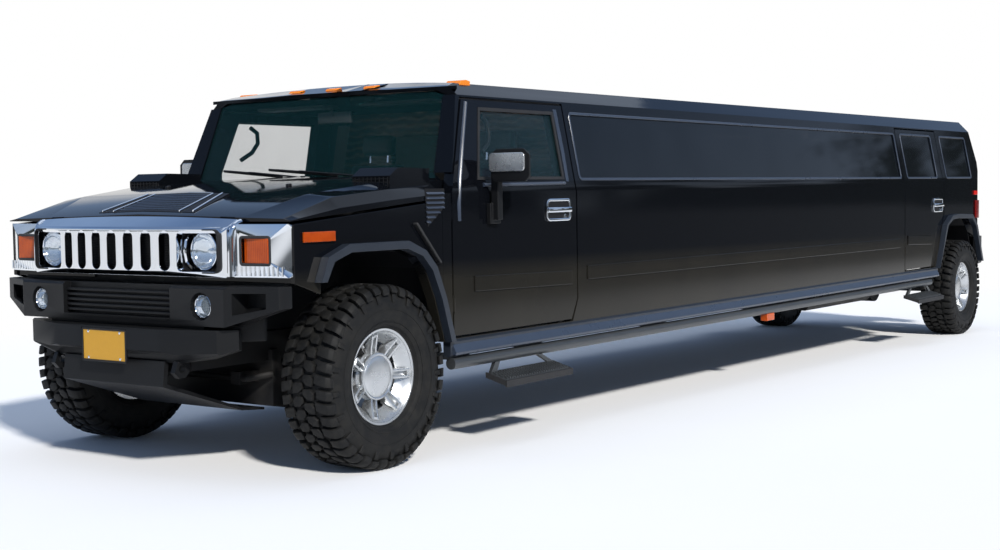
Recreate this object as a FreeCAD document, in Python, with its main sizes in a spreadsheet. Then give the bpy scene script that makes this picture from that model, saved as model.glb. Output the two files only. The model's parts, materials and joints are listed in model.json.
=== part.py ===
import FreeCAD
import Part
import Sketcher
import math
import os
from types import SimpleNamespace

# Stretch limousine on two axles. X points forward with 0 at the front axle while a piece is drawn,
# Y points to the vehicle's left and Z up from the ground. Lengths are in millimetres.
# At the end the body is tilted nose-down about the front axle and everything is moved along X,
# so that the origin lies under the middle of the vehicle.

DIMENSIONS = [
    ("wheelbase", 8300, "front axle to rear axle"),
    ("front_overhang", 820, "front axle to the face of the lower bumper"),
    ("rear_overhang", 850, "rear axle to the face of the rear bumper"),
    ("rake_rise", 90, "rise of the body over the wheelbase"),
    ("axle_height", 436, "wheel centre above the ground"),
    ("track_half", 875, "centreline to the middle of a tyre"),
    ("tyre_radius", 436, "outside radius of a tyre"),
    ("tyre_width", 305, "width of a tyre"),
    ("tyre_shoulder", 30, "rounding of the tyre's shoulder"),
    ("rim_radius", 228, "outside radius of a rim's flange"),
    ("rim_width", 220, "flange to flange"),
    ("rim_wall", 12, "thickness of the rim's barrel"),
    ("rim_flange", 14, "height of the rim's flange"),
    ("spoke_count_angle", 51.4286, "angle between two of the seven spokes"),
    ("spoke_width", 56, "width of a spoke"),
    ("disc_thickness", 34, "thickness of the spoked disc"),
    ("hub_radius", 92, "radius of the hub's face"),
    ("cap_radius", 112, "radius of the hub cap"),
    ("cap_inset", 50, "hub cap behind the rim's flange"),
    ("spindle_radius", 45, "radius of a wheel spindle"),
    ("brake_radius", 128, "radius of a brake disc"),
    ("brake_width", 24, "width of a brake disc"),
    ("kingpin_y", 740, "centreline to the steering axis"),
    ("pin_gap", 0.3, "clearance at a pin, a hub or a seat"),
    ("door_gap", 12, "gap round a door, the hood and the liftgate"),
    ("hinge_pin", 6, "radius of a hinge pin"),
    ("hinge_length", 70, "length of a hinge pin"),
    ("hinge_low_z", 700, "foot of the lower door hinge"),
    ("hinge_high_z", 1160, "foot of the upper door hinge"),
    ("hood_hinge_y", 560, "centreline to a hinge of the hood"),
    ("gate_hinge_y", 500, "centreline to a hinge of the liftgate"),
    ("gate_hinge_z", 1764, "height of the liftgate's hinges"),
    ("wall", 60, "thickness of a side wall and of a door"),
    ("side_y", 985, "centreline to the side skin"),
    ("sill_z", 555, "lower edge of the side wall"),
    ("belt_z", 1290, "height where the side starts to lean in"),
    ("shoulder_y", 970, "centreline to the side at window foot"),
    ("shoulder_z", 1360, "height of the window foot"),
    ("crease_y", 885, "centreline to the crease under the roof"),
    ("crease_z", 1790, "height of the crease under the roof"),
    ("roof_edge_y", 800, "centreline to the roof's edge"),
    ("roof_edge_z", 1857, "height of the roof's edge in front"),
    ("roof_rise", 30, "rise of the roof's edge over the body's length"),
    ("roof_radius", 9800, "radius of the roof's crown"),
    ("roof_sheet", 40, "thickness of the roof"),
    ("front_post", 478, "front axle back to the end of a front fender"),
    ("glass", 6, "thickness of a pane"),
    ("glass_inset", 8, "skin to the outer face of a pane"),
    ("glass_lap", 12, "pane beyond its opening"),
    ("cowl_drop", 16, "hood's rear edge down to the windshield's foot"),
    ("windshield_x", 585, "front axle back to the windshield's foot"),
    ("windshield_bow", 75, "bow of the windshield's foot"),
    ("header_x", 738, "front axle back to the windshield's head"),
    ("header_z", 1818, "height of the windshield's head"),
    ("header_bow", 28, "bow of the windshield's head"),
    ("header_depth", 70, "depth of the rail over the windshield"),
    ("ramp_z", 1836, "height of the roof's front edge"),
    ("ramp_length", 200, "length of the slope behind that edge"),
    ("ramp_rise", 50, "rise of that slope"),
    ("windshield_foot_y", 851, "half width of the windshield's foot"),
    ("windshield_head_y", 805, "half width of the windshield's head"),
    ("door_front", 560, "front axle back to the front door's hinge edge"),
    ("door_head_step", 210, "hinge edge back to the front door's upper front corner"),
    ("door_width", 1138, "hinge edge to latch edge of the front door"),
    ("door_foot_step", 58, "latch edge forward to the front door's lower rear corner"),
    ("door_foot_z", 578, "lower edge of the doors"),
    ("door_corner_z", 690, "height where the door's lower rear corner starts"),
    ("door_head_z", 1768, "upper edge of the doors"),
    ("door_window_foot", 235, "front door's hinge edge to its window's foot"),
    ("door_window_head", 345, "front door's hinge edge to its window's head"),
    ("door_window_latch", 108, "front door's window to its latch edge"),
    ("window_foot_z", 1364, "lower edge of the side windows"),
    ("window_head_z", 1722, "upper edge of the side windows"),
    ("door_post", 67, "front door to the long window"),
    ("window_post", 60, "long window to the rear door"),
    ("back_door_ahead", 1450, "rear axle forward to the rear door's hinge edge"),
    ("back_door_width", 970, "hinge edge to latch edge of the rear door"),
    ("back_door_arch_z", 1045, "height where the rear door meets the flare"),
    ("back_door_foot", 740, "rear axle forward to the rear door's lower corner"),
    ("back_window_frame", 95, "rear door's hinge edge to its window"),
    ("back_window_latch", 140, "rear door's window to its latch edge"),
    ("quarter_post", 110, "rear door to the quarter window"),
    ("quarter_length", 690, "length of the quarter window"),
    ("body_overhang", 630, "rear axle back to the body's rear face"),
    ("rear_post", 140, "depth of the post at a rear corner"),
    ("rear_corner", 160, "length of the corner's rounding along the side"),
    ("rear_corner_y", 135, "width of the corner's rounding across the rear"),
    ("rear_lean_z", 1300, "height where the rear face starts to lean in"),
    ("rear_lean", 130, "how far the rear face leans in at the crease"),
    ("gate_y", 812, "half width of the liftgate"),
    ("header_lap", 15, "rear rail of the roof below its crease"),
    ("gate_foot_z", 812, "lower edge of the liftgate"),
    ("gate_head_z", 1762, "upper edge of the liftgate"),
    ("gate_window_y", 650, "half width of the liftgate's window"),
    ("gate_window_foot", 1350, "lower edge of the liftgate's window"),
    ("gate_window_head", 1690, "upper edge of the liftgate's window"),
    ("hood_front", 590, "front axle forward to the hood's front edge"),
    ("hood_rear", 470, "front axle back to the hood's rear edge"),
    ("hood_edge", 34, "hood's seam up to the hood's front edge"),
    ("hood_rise", 122, "hood's seam up to the hood's rear edge"),
    ("hood_crease_front_y", 680, "half width between the creases in front"),
    ("hood_knee_x", 270, "front axle forward to the hood's knee"),
    ("hood_knee_y", 790, "half width between the creases at the knee"),
    ("hood_knee_lift", 50, "knee above the straight line from front to rear"),
    ("hood_dome_x", 100, "front axle back to the hood's dome"),
    ("hood_dome_y", 860, "half width between the creases at the dome"),
    ("hood_dome_lift", 33, "dome above the straight line from front to rear"),
    ("hood_crease_rear_y", 875, "half width between the creases behind"),
    ("hood_drop", 16, "crown down to the crease"),
    ("hood_shoulder_y", 935, "half width at the hood's shoulder"),
    ("hood_shoulder_drop", 40, "crease down to the shoulder behind"),
    ("fender_band", 151, "front wheel arch up to the hood's seam"),
    ("seam_rise", 88, "rise of the hood's seam from front to rear"),
    ("hood_sheet", 36, "thickness of the hood"),
    ("intake_front", 150, "front axle back to an intake on the hood"),
    ("intake_rear", 452, "front axle back to its end"),
    ("intake_inner_y", 690, "centreline to an intake's inner side"),
    ("intake_rise", 30, "height of an intake over the hood's rear edge"),
    ("fender_sheet", 26, "thickness of a fender"),
    ("fender_foot_z", 905, "lower edge of a fender in front of its wheel"),
    ("arch_head", 1027, "height of a front wheel arch"),
    ("rear_arch_head", 985, "height of a rear wheel arch"),
    ("flare_width", 42, "width of a flare's face"),
    ("flare_y", 1031, "centreline to a flare's outer edge"),
    ("rocker_y", 1006, "centreline to the face of the rocker band"),
    ("rocker_foot_z", 478, "lower edge of the rocker band"),
    ("liner_gap", 27, "arch to its liner"),
    ("liner_sheet", 10, "thickness of a wheel arch liner"),
    ("front_liner_y", 462, "centreline to a front liner's inner wall"),
    ("rear_liner_y", 640, "centreline to a rear liner's inner wall"),
    ("grille_x", 740, "front axle forward to the grille's face"),
    ("grille_depth", 60, "thickness of the grille shell"),
    ("grille_foot_z", 930, "lower edge of the grille shell"),
    ("grille_slope", 28, "hood's seam down to the grille shell's bend"),
    ("shell", 38, "thickness of the grille shell's sheet"),
    ("bulkhead_x", 540, "front axle forward to the bulkhead behind the grille"),
    ("bulkhead", 24, "thickness of that bulkhead"),
    ("grille_y", 668, "half width of the grille's middle"),
    ("wing_x", 640, "front axle forward to a wing's inner edge"),
    ("wing_end_x", 575, "front axle forward to a wing's outer edge"),
    ("wing_y", 950, "centreline to a wing's outer edge"),
    ("slot_count_pitch", 112, "distance between two grille slots"),
    ("slot_width", 62, "width of a grille slot"),
    ("slot_foot_z", 962, "lower end of a grille slot"),
    ("slot_head_z", 1142, "upper end of a grille slot"),
    ("lamp_y", 531, "centreline to a headlamp"),
    ("lamp_z", 1050, "height of a headlamp"),
    ("lamp_radius", 89, "radius of a headlamp"),
    ("lamp_opening", 226, "width of a headlamp's opening"),
    ("lamp_opening_height", 200, "height of a headlamp's opening"),
    ("lamp_depth", 90, "depth of a headlamp"),
    ("turn_y", 800, "centreline to a turn lamp"),
    ("turn_width", 150, "width of a turn lamp"),
    ("turn_height", 115, "height of a turn lamp"),
    ("bumper_y", 700, "half width of the upper bumper's middle"),
    ("bumper_x", 752, "front axle forward to the upper bumper"),
    ("bumper_end_x", 590, "front axle forward to the bumper's end"),
    ("bumper_end_y", 955, "centreline to the bumper's end"),
    ("bumper_head_z", 895, "upper edge of the upper bumper"),
    ("bumper_foot_z", 712, "lower edge of the upper bumper"),
    ("bumper_depth", 150, "depth of the upper bumper"),
    ("bumper_slat_y", 372, "half width of the slatted recess"),
    ("bumper_recess", 45, "depth of the recesses in the bumper"),
    ("fog_y", 562, "centreline to a fog lamp"),
    ("fog_z", 805, "height of a fog lamp"),
    ("fog_radius", 52, "radius of a fog lamp"),
    ("lower_head_z", 700, "upper edge of the lower bumper"),
    ("lower_foot_z", 545, "lower edge of the lower bumper"),
    ("plate_half", 157, "half width of the recess for the number plate"),
    ("plate_recess", 10, "depth of the recess for the number plate"),
    ("plate_head_z", 692, "upper edge of the recess for the number plate"),
    ("lower_y", 655, "half width of the lower bumper's face"),
    ("lower_corner_x", 745, "front axle forward to that face's corner"),
    ("lower_end_x", 620, "front axle forward to the lower bumper's end"),
    ("lower_end_y", 760, "centreline to the lower bumper's end"),
    ("skid_y", 350, "half width of the skid plate"),
    ("skid_sheet", 12, "thickness of the skid plate"),
    ("skid_front_x", 765, "front axle forward to the skid plate's front edge"),
    ("skid_front_z", 448, "height of that edge"),
    ("skid_foot_z", 268, "lowest height of the skid plate"),
    ("skid_knee_x", 290, "front axle forward to the skid plate's bend"),
    ("skid_rear_x", 140, "front axle forward to the skid plate's rear edge"),
    ("tow_y", 420, "centreline to a tow eye"),
    ("tow_bore", 18, "radius of a tow eye's bore"),
    ("tow_thickness", 28, "thickness of a tow eye"),
    ("tow_x", 735, "front axle forward to a tow eye's bore"),
    ("tow_z", 520, "height of a tow eye's bore"),
    ("tube_radius", 30, "radius of a side tube"),
    ("tube_y", 985, "centreline to a side tube"),
    ("tube_z", 443, "height of a side tube"),
    ("tube_front", 525, "front axle back to a side tube's front end"),
    ("tube_ahead", 860, "rear axle forward to a side tube's rear end"),
    ("step_drop", 88, "side tube down to a step's tread"),
    ("step_depth", 130, "a step's width across"),
    ("step_length", 430, "a step's length"),
    ("step_front", 1105, "front axle back to the middle of the front step"),
    ("step_ahead", 1150, "rear axle forward to the middle of the rear step"),
    ("step_sheet", 22, "thickness of a step"),
    ("bracket_drop", 46, "frame rail down to the side tube's brackets"),
    ("exhaust_y", 560, "centreline to the exhaust pipe"),
    ("exhaust_z", 502, "height of the exhaust pipe"),
    ("exhaust_radius", 32, "radius of the exhaust pipe"),
    ("rail_y", 360, "centreline to a frame rail's inner side"),
    ("rail_width", 85, "width of a frame rail"),
    ("rail_foot_z", 505, "underside of the frame rails"),
    ("rail_height", 140, "height of the frame rails"),
    ("rail_front", 690, "front axle forward to the rails' ends"),
    ("rail_overhang", 620, "rear axle back to the rails' ends"),
    ("member_pitch", 930, "distance between two cross members"),
    ("member_width", 90, "width of a cross member"),
    ("fuel_gap", 350, "rear door forward to the fuel tank"),
    ("fuel_length", 1250, "length of the fuel tank"),
    ("floor_z", 700, "underside of the floor"),
    ("floor_sheet", 35, "thickness of the floor"),
    ("receiver", 51, "inside width of the hitch receiver"),
    ("receiver_wall", 7, "wall of the hitch receiver"),
    ("receiver_length", 220, "length of the hitch receiver"),
    ("rear_bumper_y", 925, "half width of the rear bumper"),
    ("rear_bumper_head_z", 795, "upper edge of the rear bumper"),
    ("rear_bumper_foot_z", 535, "lower edge of the rear bumper"),
    ("rear_bumper_depth", 150, "depth of the rear bumper"),
    ("tail_lamp_z", 1060, "height of a tail lamp's middle"),
    ("tail_lamp_height", 170, "height of a tail lamp"),
    ("tail_lamp_reach", 90, "tail lamp ahead of the rounded corner"),
    ("lamp_stand", 14, "how far a small lamp stands out"),
    ("mirror_x", 885, "front axle back to a mirror's middle"),
    ("mirror_y", 1034, "centreline to a mirror's inner side"),
    ("mirror_width", 236, "width of a mirror's head"),
    ("mirror_height", 165, "height of a mirror's head"),
    ("mirror_depth", 120, "depth of a mirror's head"),
    ("mirror_foot_z", 1345, "lower edge of a mirror's head"),
    ("mirror_arm", 44, "side of a mirror's arm"),
    ("mirror_plate_z", 1130, "lower edge of a mirror's foot"),
    ("mirror_plate", 105, "height of a mirror's foot"),
]

INTAKE_FRONT_DROP = 40

doc = FreeCAD.newDocument("StretchLimousine")
sheet = doc.addObject("Spreadsheet::Sheet", "Sizes")
for row, (alias, number, note) in enumerate(DIMENSIONS, start=1):
    sheet.set(f"A{row}", note)
    sheet.set(f"B{row}", str(number))
    sheet.setAlias(f"B{row}", alias)
doc.recompute()


class Size:
    """A length with the sheet expression that gives it."""

    def __init__(self, value, text):
        self.value = float(value)
        self.text = text

    @staticmethod
    def of(item):
        if isinstance(item, Size):
            return item
        return Size(item, f"({item:.6f})")

    def __add__(self, other):
        other = Size.of(other)
        return Size(self.value + other.value, f"({self.text} + {other.text})")

    def __sub__(self, other):
        other = Size.of(other)
        return Size(self.value - other.value, f"({self.text} - {other.text})")

    def __mul__(self, other):
        other = Size.of(other)
        return Size(self.value * other.value, f"({self.text} * {other.text})")

    def __truediv__(self, other):
        other = Size.of(other)
        return Size(self.value / other.value, f"({self.text} / {other.text})")

    def __radd__(self, other):
        return Size.of(other) + self

    def __rsub__(self, other):
        return Size.of(other) - self

    def __rmul__(self, other):
        return Size.of(other) * self

    def __neg__(self):
        return Size(-self.value, f"(0 - {self.text})")


s = SimpleNamespace(**{alias: Size(sheet.get(alias), f"Sizes.{alias}") for alias, _, _ in DIMENSIONS})

# Places that follow from the sizes above

s.body_rear = s.wheelbase + s.body_overhang
s.rail_rear = s.wheelbase + s.rail_overhang
s.tube_rear = s.wheelbase - s.tube_ahead
s.step_rear = s.wheelbase - s.step_ahead
s.door_head_front = s.door_front + s.door_head_step
s.door_rear = s.door_front + s.door_width
s.door_rear_foot = s.door_rear - s.door_foot_step
s.long_window_front = s.door_rear + s.door_post
s.back_door_front = s.wheelbase - s.back_door_ahead
s.back_door_rear = s.back_door_front + s.back_door_width
s.long_window_rear = s.back_door_front - s.window_post
s.back_window_front = s.back_door_front + s.back_window_frame
s.back_window_rear = s.back_door_rear - s.back_window_latch
s.quarter_front = s.back_door_rear + s.quarter_post
s.quarter_rear = s.quarter_front + s.quarter_length
s.seam_front_z = s.arch_head + s.fender_band
s.seam_rear_z = s.seam_front_z + s.seam_rise
s.hood_front_z = s.seam_front_z + s.hood_edge
s.hood_rear_z = s.seam_rear_z + s.hood_rise
s.hood_hinge_z = s.hood_front_z - s.hood_drop
s.cowl_z = s.hood_rear_z - s.cowl_drop
s.intake_z = s.hood_rear_z + s.intake_rise
s.grille_slope_z = s.seam_front_z - s.grille_slope


def rect(a0, b0, a1, b1):
    """Corners of a rectangle."""
    return [(a0, b0), (a1, b0), (a1, b1), (a0, b1)]


def circle(a, b, radius):
    """A full circle, as a loop of one entry."""
    return [("circle", a, b, radius)]


def arc(radius, bulge):
    """Marks the next side of a loop as an arc; bulge is 1 to its left and -1 to its right."""
    return ("arc", radius, bulge)


def span(low, high, side):
    """The stretch between two distances from the centreline, low end first, on one side."""
    return (low, high) if side > 0 else (-high, -low)


def mirrored(loop):
    """The same loop on the other side of the sketch's vertical axis."""
    flipped = []
    for entry in loop:
        if entry[0] == "circle":
            flipped.append(("circle", -Size.of(entry[1]), entry[2], entry[3]))
        else:
            flipped.append((-Size.of(entry[0]), entry[1]))
    return flipped


def both(loop):
    return [loop, mirrored(loop)]


class Piece:
    """A body built of bound sketches that are padded, cut, spun and lofted."""

    ROLES = {"X": "YZ_Plane", "Y": "XZ_Plane", "Z": "XY_Plane"}

    def __init__(self, label):
        self.body = doc.addObject("PartDesign::Body", label)
        self.body.Label = label
        self.body.AllowCompound = True

    def plane(self, role):
        for feature in self.body.Origin.OriginFeatures:
            if feature.Role == role:
                return feature
        raise ValueError(role)

    def bind_point(self, sketch, edge, end, a, b):
        for axis, item in (("DistanceX", a), ("DistanceY", b)):
            item = Size.of(item)
            number = sketch.addConstraint(Sketcher.Constraint(axis, edge, end, item.value))
            if "Sizes" in item.text:
                sketch.setExpression(f"Constraints[{number}]", item.text)

    def bind_radius(self, sketch, edge, radius):
        number = sketch.addConstraint(Sketcher.Constraint("Radius", edge, radius.value))
        if "Sizes" in radius.text:
            sketch.setExpression(f"Constraints[{number}]", radius.text)

    def draw_loop(self, sketch, loop):
        if loop[0][0] == "circle":
            _, a, b, radius = loop[0]
            radius = Size.of(radius)
            centre = FreeCAD.Vector(Size.of(a).value, Size.of(b).value, 0)
            ring = Part.Circle(centre, FreeCAD.Vector(0, 0, 1), radius.value)
            edge = sketch.addGeometry(ring, False)
            self.bind_point(sketch, edge, 3, a, b)
            self.bind_radius(sketch, edge, radius)
            return
        corners = []
        bends = {}
        for entry in loop:
            if entry[0] == "arc":
                bends[len(corners) - 1] = entry
            else:
                corners.append(entry)
        places = [FreeCAD.Vector(Size.of(a).value, Size.of(b).value, 0) for a, b in corners]
        edges = []
        for index, start in enumerate(places):
            end = places[(index + 1) % len(places)]
            if index not in bends:
                edges.append((sketch.addGeometry(Part.LineSegment(start, end), False), 1, 2))
                continue
            _, radius, bulge = bends[index]
            radius = Size.of(radius)
            chord = end - start
            rise = math.sqrt(max(radius.value ** 2 - (chord.Length / 2) ** 2, 0))
            left = FreeCAD.Vector(-chord.y, chord.x, 0).normalize()
            middle = (start + end) / 2 + left * (bulge * (radius.value - rise))
            edge = sketch.addGeometry(Part.Arc(start, middle, end), False)
            turned = (sketch.getPoint(edge, 1) - start).Length > (sketch.getPoint(edge, 2) - start).Length
            edges.append((edge, 2, 1) if turned else (edge, 1, 2))
            self.bind_radius(sketch, edge, radius)
        for index, (edge, _, tail) in enumerate(edges):
            after, head, _ = edges[(index + 1) % len(edges)]
            sketch.addConstraint(Sketcher.Constraint("Coincident", edge, tail, after, head))
        for (edge, head, _), (a, b) in zip(edges, corners):
            self.bind_point(sketch, edge, head, a, b)

    def sketch(self, across, place, loops):
        """A sketch square to an axis; a loop's points are (y, z), (x, z) or (x, y)."""
        sketch = self.body.newObject("Sketcher::SketchObject", "Outline")
        sketch.AttachmentSupport = [(self.plane(self.ROLES[across]), "")]
        sketch.MapMode = "FlatFace"
        offset = -Size.of(place) if across == "Y" else Size.of(place)
        sketch.AttachmentOffset = FreeCAD.Placement(FreeCAD.Vector(0, 0, offset.value), FreeCAD.Rotation())
        sketch.setExpression("AttachmentOffset.Base.z", offset.text)
        for loop in loops:
            self.draw_loop(sketch, loop)
        return sketch

    def add(self, across, start, end, *loops):
        """Pads loops along an axis from start to end."""
        start = Size.of(start)
        length = Size.of(end) - start
        pad = self.body.newObject("PartDesign::Pad", "Pad")
        pad.Profile = self.sketch(across, start, loops)
        pad.Length = length.value
        pad.setExpression("Length", length.text)
        pad.Reversed = across == "Y"
        self.body.Tip = pad
        return self

    def cut(self, across, start, end, *loops):
        """Pockets loops along an axis from start to end."""
        start = Size.of(start)
        length = Size.of(end) - start
        pocket = self.body.newObject("PartDesign::Pocket", "Pocket")
        pocket.Profile = self.sketch(across, start, loops)
        pocket.Length = length.value
        pocket.setExpression("Length", length.text)
        pocket.Reversed = across != "Y"
        self.body.Tip = pocket
        return self

    def loft(self, cuts, across, *sections):
        """A ruled loft through (place, loop) sections square to an axis."""
        kind = "PartDesign::SubtractiveLoft" if cuts else "PartDesign::AdditiveLoft"
        loft = self.body.newObject(kind, "Loft")
        sketches = [self.sketch(across, place, [loop]) for place, loop in sections]
        loft.Profile = sketches[0]
        loft.Sections = sketches[1:]
        loft.Ruled = True
        self.body.Tip = loft
        return self

    def spin(self, loop):
        """Turns a (y, radius) loop about the Y axis."""
        turn = self.body.newObject("PartDesign::Revolution", "Turn")
        outline = self.sketch("X", 0, [loop])
        turn.Profile = outline
        turn.ReferenceAxis = (outline, ["H_Axis"])
        turn.Angle = 360
        self.body.Tip = turn
        return self

    def ring_of(self, count):
        """Repeats the last feature round the Y axis."""
        original = self.body.Tip
        pattern = self.body.newObject("PartDesign::PolarPattern", "Ring")
        pattern.Originals = [original]
        pattern.Axis = (self.plane("Y_Axis"), [""])
        pattern.Angle = 360
        pattern.Occurrences = count
        self.body.Tip = pattern
        return self


def mirror_of(source, label):
    """The same solid on the vehicle's other side."""
    other = doc.addObject("Part::Mirroring", label)
    other.Label = label
    other.Source = source
    other.Normal = FreeCAD.Vector(0, 1, 0)
    return other


def pair(label, *pieces):
    """One node that holds pieces and their mirror images."""
    links = []
    for piece in pieces:
        links.append(piece.body)
        links.append(mirror_of(piece.body, f"{piece.body.Label}_other"))
    group = doc.addObject("Part::Compound", label)
    group.Label = label
    group.Links = links
    return group


def group_of(label, *items):
    """One node that holds several separate solids."""
    group = doc.addObject("Part::Compound", label)
    group.Label = label
    group.Links = list(items)
    return group


# Outlines that several pieces share

def side_section(depth, foot=None):
    """The side wall seen from in front, as thick as depth."""
    foot = s.sill_z if foot is None else foot
    outer = [(s.side_y, foot), (s.side_y, s.belt_z), (s.shoulder_y, s.shoulder_z), (s.crease_y, s.crease_z)]
    inner = [(y - depth, z) for y, z in reversed(outer)]
    return outer + inner


def pane_section(depth):
    """A pane that follows the lean of the side, set in by depth."""
    lean = (s.shoulder_y - s.crease_y) / (s.crease_z - s.shoulder_z)
    foot = s.window_foot_z - s.glass_lap
    head = s.window_head_z + s.glass_lap
    low_y = s.shoulder_y - lean * (foot - s.shoulder_z) - depth
    high_y = s.shoulder_y - lean * (head - s.shoulder_z) - depth
    return [(low_y, foot), (high_y, head), (high_y - s.glass, head), (low_y - s.glass, foot)]


def front_door_outline(grow):
    """The front door seen from the side."""
    return [
        (-s.door_front + grow, s.door_foot_z - grow),
        (-s.door_front + grow, s.belt_z),
        (-s.door_head_front + grow, s.door_head_z + grow),
        (-s.door_rear - grow, s.door_head_z + grow),
        (-s.door_rear - grow, s.door_corner_z),
        (-s.door_rear_foot - grow, s.door_foot_z - grow),
    ]


def back_door_outline(grow):
    """The rear door seen from the side, cut away along the wheel's flare."""
    return [
        (-s.back_door_front + grow, s.door_foot_z - grow),
        (-s.back_door_front + grow, s.door_head_z + grow),
        (-s.back_door_rear - grow, s.door_head_z + grow),
        (-s.back_door_rear - grow, s.back_door_arch_z),
        (-s.wheelbase + s.back_door_foot - grow, s.door_foot_z - grow),
    ]


def front_window_outline(grow):
    return [
        (-s.door_front - s.door_window_foot + grow, s.window_foot_z - grow),
        (-s.door_front - s.door_window_head + grow, s.window_head_z + grow),
        (-s.door_rear + s.door_window_latch - grow, s.window_head_z + grow),
        (-s.door_rear + s.door_window_latch - grow, s.window_foot_z - grow),
    ]


def window_outline(front, rear, grow):
    return rect(-rear - grow, s.window_foot_z - grow, -front + grow, s.window_head_z + grow)


def front_arch(grow):
    """The front wheel's arch from its front foot over the top to its rear foot."""
    return [
        (410 + grow, s.fender_foot_z),
        (360 + grow, s.arch_head - 36 + grow * 0.6),
        (245 + grow * 0.4, s.arch_head + grow),
        (-150 - grow * 0.3, s.arch_head + grow),
        (-262 - grow * 0.7, s.arch_head - 38 + grow * 0.7),
        (-335 - grow, s.arch_head - 110 + grow * 0.4),
        (-405 - grow, s.arch_head - 250),
        (-478 - grow, s.sill_z),
    ]


def rear_arch(grow):
    """The rear wheel's arch from its front foot over the top to its rear foot."""
    axle = -s.wheelbase
    return [
        (axle + 655 + grow, s.sill_z),
        (axle + 476 + grow, s.rear_arch_head - 52),
        (axle + 345 + grow * 0.5, s.rear_arch_head - 8 + grow * 0.9),
        (axle + 175, s.rear_arch_head + grow),
        (axle - 190 - grow * 0.3, s.rear_arch_head - 12 + grow),
        (axle - 300 - grow, s.rear_arch_head - 90 + grow * 0.4),
        (axle - 480 - grow, s.rear_bumper_foot_z + 30),
    ]


def band(outline, low, high):
    """A closed band between an outline grown by low and by high."""
    return outline(low) + list(reversed(outline(high)))


FAR_OUT = s.side_y + 150
DEEP_IN = s.crease_y - 200


def trim_rear(piece):
    """Takes the corner behind the leaning rear face off a piece."""
    top = s.roof_edge_z + 200
    lean_top = s.rear_lean * (top - s.rear_lean_z) / (s.crease_z - s.rear_lean_z)
    return piece.cut("Y", -FAR_OUT, FAR_OUT, [
        (-s.body_rear - 200, s.rear_lean_z),
        (-s.body_rear, s.rear_lean_z),
        (-s.body_rear + lean_top, top),
        (-s.body_rear - 200, top),
    ])


def corner_profile(out):
    """The rounding of a rear corner in plan, from the side to the rear, set out by a distance."""
    rear = -s.body_rear
    return [
        (rear + s.rear_corner, s.side_y + out),
        (rear + s.rear_corner * 0.45 - out * 0.4, s.side_y - s.rear_corner_y * 0.2 + out),
        (rear + s.rear_corner * 0.12 - out * 0.8, s.side_y - s.rear_corner_y * 0.55 + out * 0.6),
        (rear - out, s.side_y - s.rear_corner_y),
    ]


def rear_face_x(z, depth):
    """Where the rear face lies at a height above the lean's start, set in by depth."""
    return -s.body_rear + s.rear_lean * (z - s.rear_lean_z) / (s.crease_z - s.rear_lean_z) + depth


# Frame, floor and running gear

def chassis_frame():
    rails = Piece("chassis_frame")
    top = s.rail_foot_z + s.rail_height
    rails.add("Z", s.rail_foot_z, top, *both(rect(-s.rail_rear, s.rail_y, s.rail_front, s.rail_y + s.rail_width))[:1])
    rails.add("Z", s.rail_foot_z, top, rect(-s.rail_rear, -s.rail_y - s.rail_width, s.rail_front, -s.rail_y))
    reach = s.rail_y + s.rail_width / 2
    count = int((s.rail_rear.value - 996) // s.member_pitch.value)
    places = [-s.rail_rear + s.member_pitch * step for step in range(count)]
    members = [rect(place, -reach, place + s.member_width, reach) for place in places]
    rails.add("Z", s.rail_foot_z, s.rail_foot_z + s.rail_height * 0.6, *members)
    nose = rect(s.rail_front - s.member_width, -reach, s.rail_front, reach)
    rails.add("Z", s.rail_foot_z, s.rail_foot_z + s.rail_height * 0.6, nose)
    pads = [rect(place, s.rail_y, place + s.member_width, s.rail_y + s.rail_width) for place in places[1:]]
    pads_other = [rect(place, -s.rail_y - s.rail_width, place + s.member_width, -s.rail_y) for place in places[1:]]
    rails.add("Z", top, s.floor_z, *(pads + pads_other))
    outer = s.receiver / 2 + s.receiver_wall
    middle_z = s.rail_foot_z + outer
    start = -s.rail_rear - s.receiver_length
    rails.add("X", start, -s.rail_rear + s.member_width / 2, rect(-outer, middle_z - outer, outer, middle_z + outer))
    inner = s.receiver / 2
    rails.cut("X", start, start + s.receiver_length, rect(-inner, middle_z - inner, inner, middle_z + inner))
    return rails


def floor_pan():
    floor = Piece("floor_pan")
    edge = s.side_y - s.wall
    front = -s.windshield_x - 20
    rear = -s.body_rear + s.rear_post
    floor.add("Z", s.floor_z, s.floor_z + s.floor_sheet, rect(rear, -edge, front, edge))
    sill_y = s.gate_y + s.door_gap - s.pin_gap
    sill_front = -s.body_rear + s.wall
    floor.add("Z", s.floor_z, s.floor_z + s.floor_sheet, rect(sill_front - 5, -sill_y, rear + 5, sill_y))
    floor.add("X", -s.body_rear, sill_front, rect(-sill_y, s.rail_foot_z + s.rail_height + 10, sill_y, s.gate_foot_z - s.door_gap))
    house = rect(-s.wheelbase - 560, s.rear_liner_y, -s.wheelbase + 760, s.side_y)
    house_other = rect(-s.wheelbase - 560, -s.side_y, -s.wheelbase + 760, -s.rear_liner_y)
    floor.cut("Z", s.floor_z - 10, s.floor_z + s.floor_sheet + 10, house, house_other)
    near = edge - s.door_gap
    for end, start in ((s.door_rear, s.door_front), (s.back_door_rear, s.back_door_front)):
        ends = (-end - 30, -start + 30)
        floor.cut("Z", s.floor_z - 10, s.floor_z + s.floor_sheet + 10,
                  rect(ends[0], near, ends[1], edge + 5), rect(ends[0], -edge - 5, ends[1], -near))
    return floor


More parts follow.
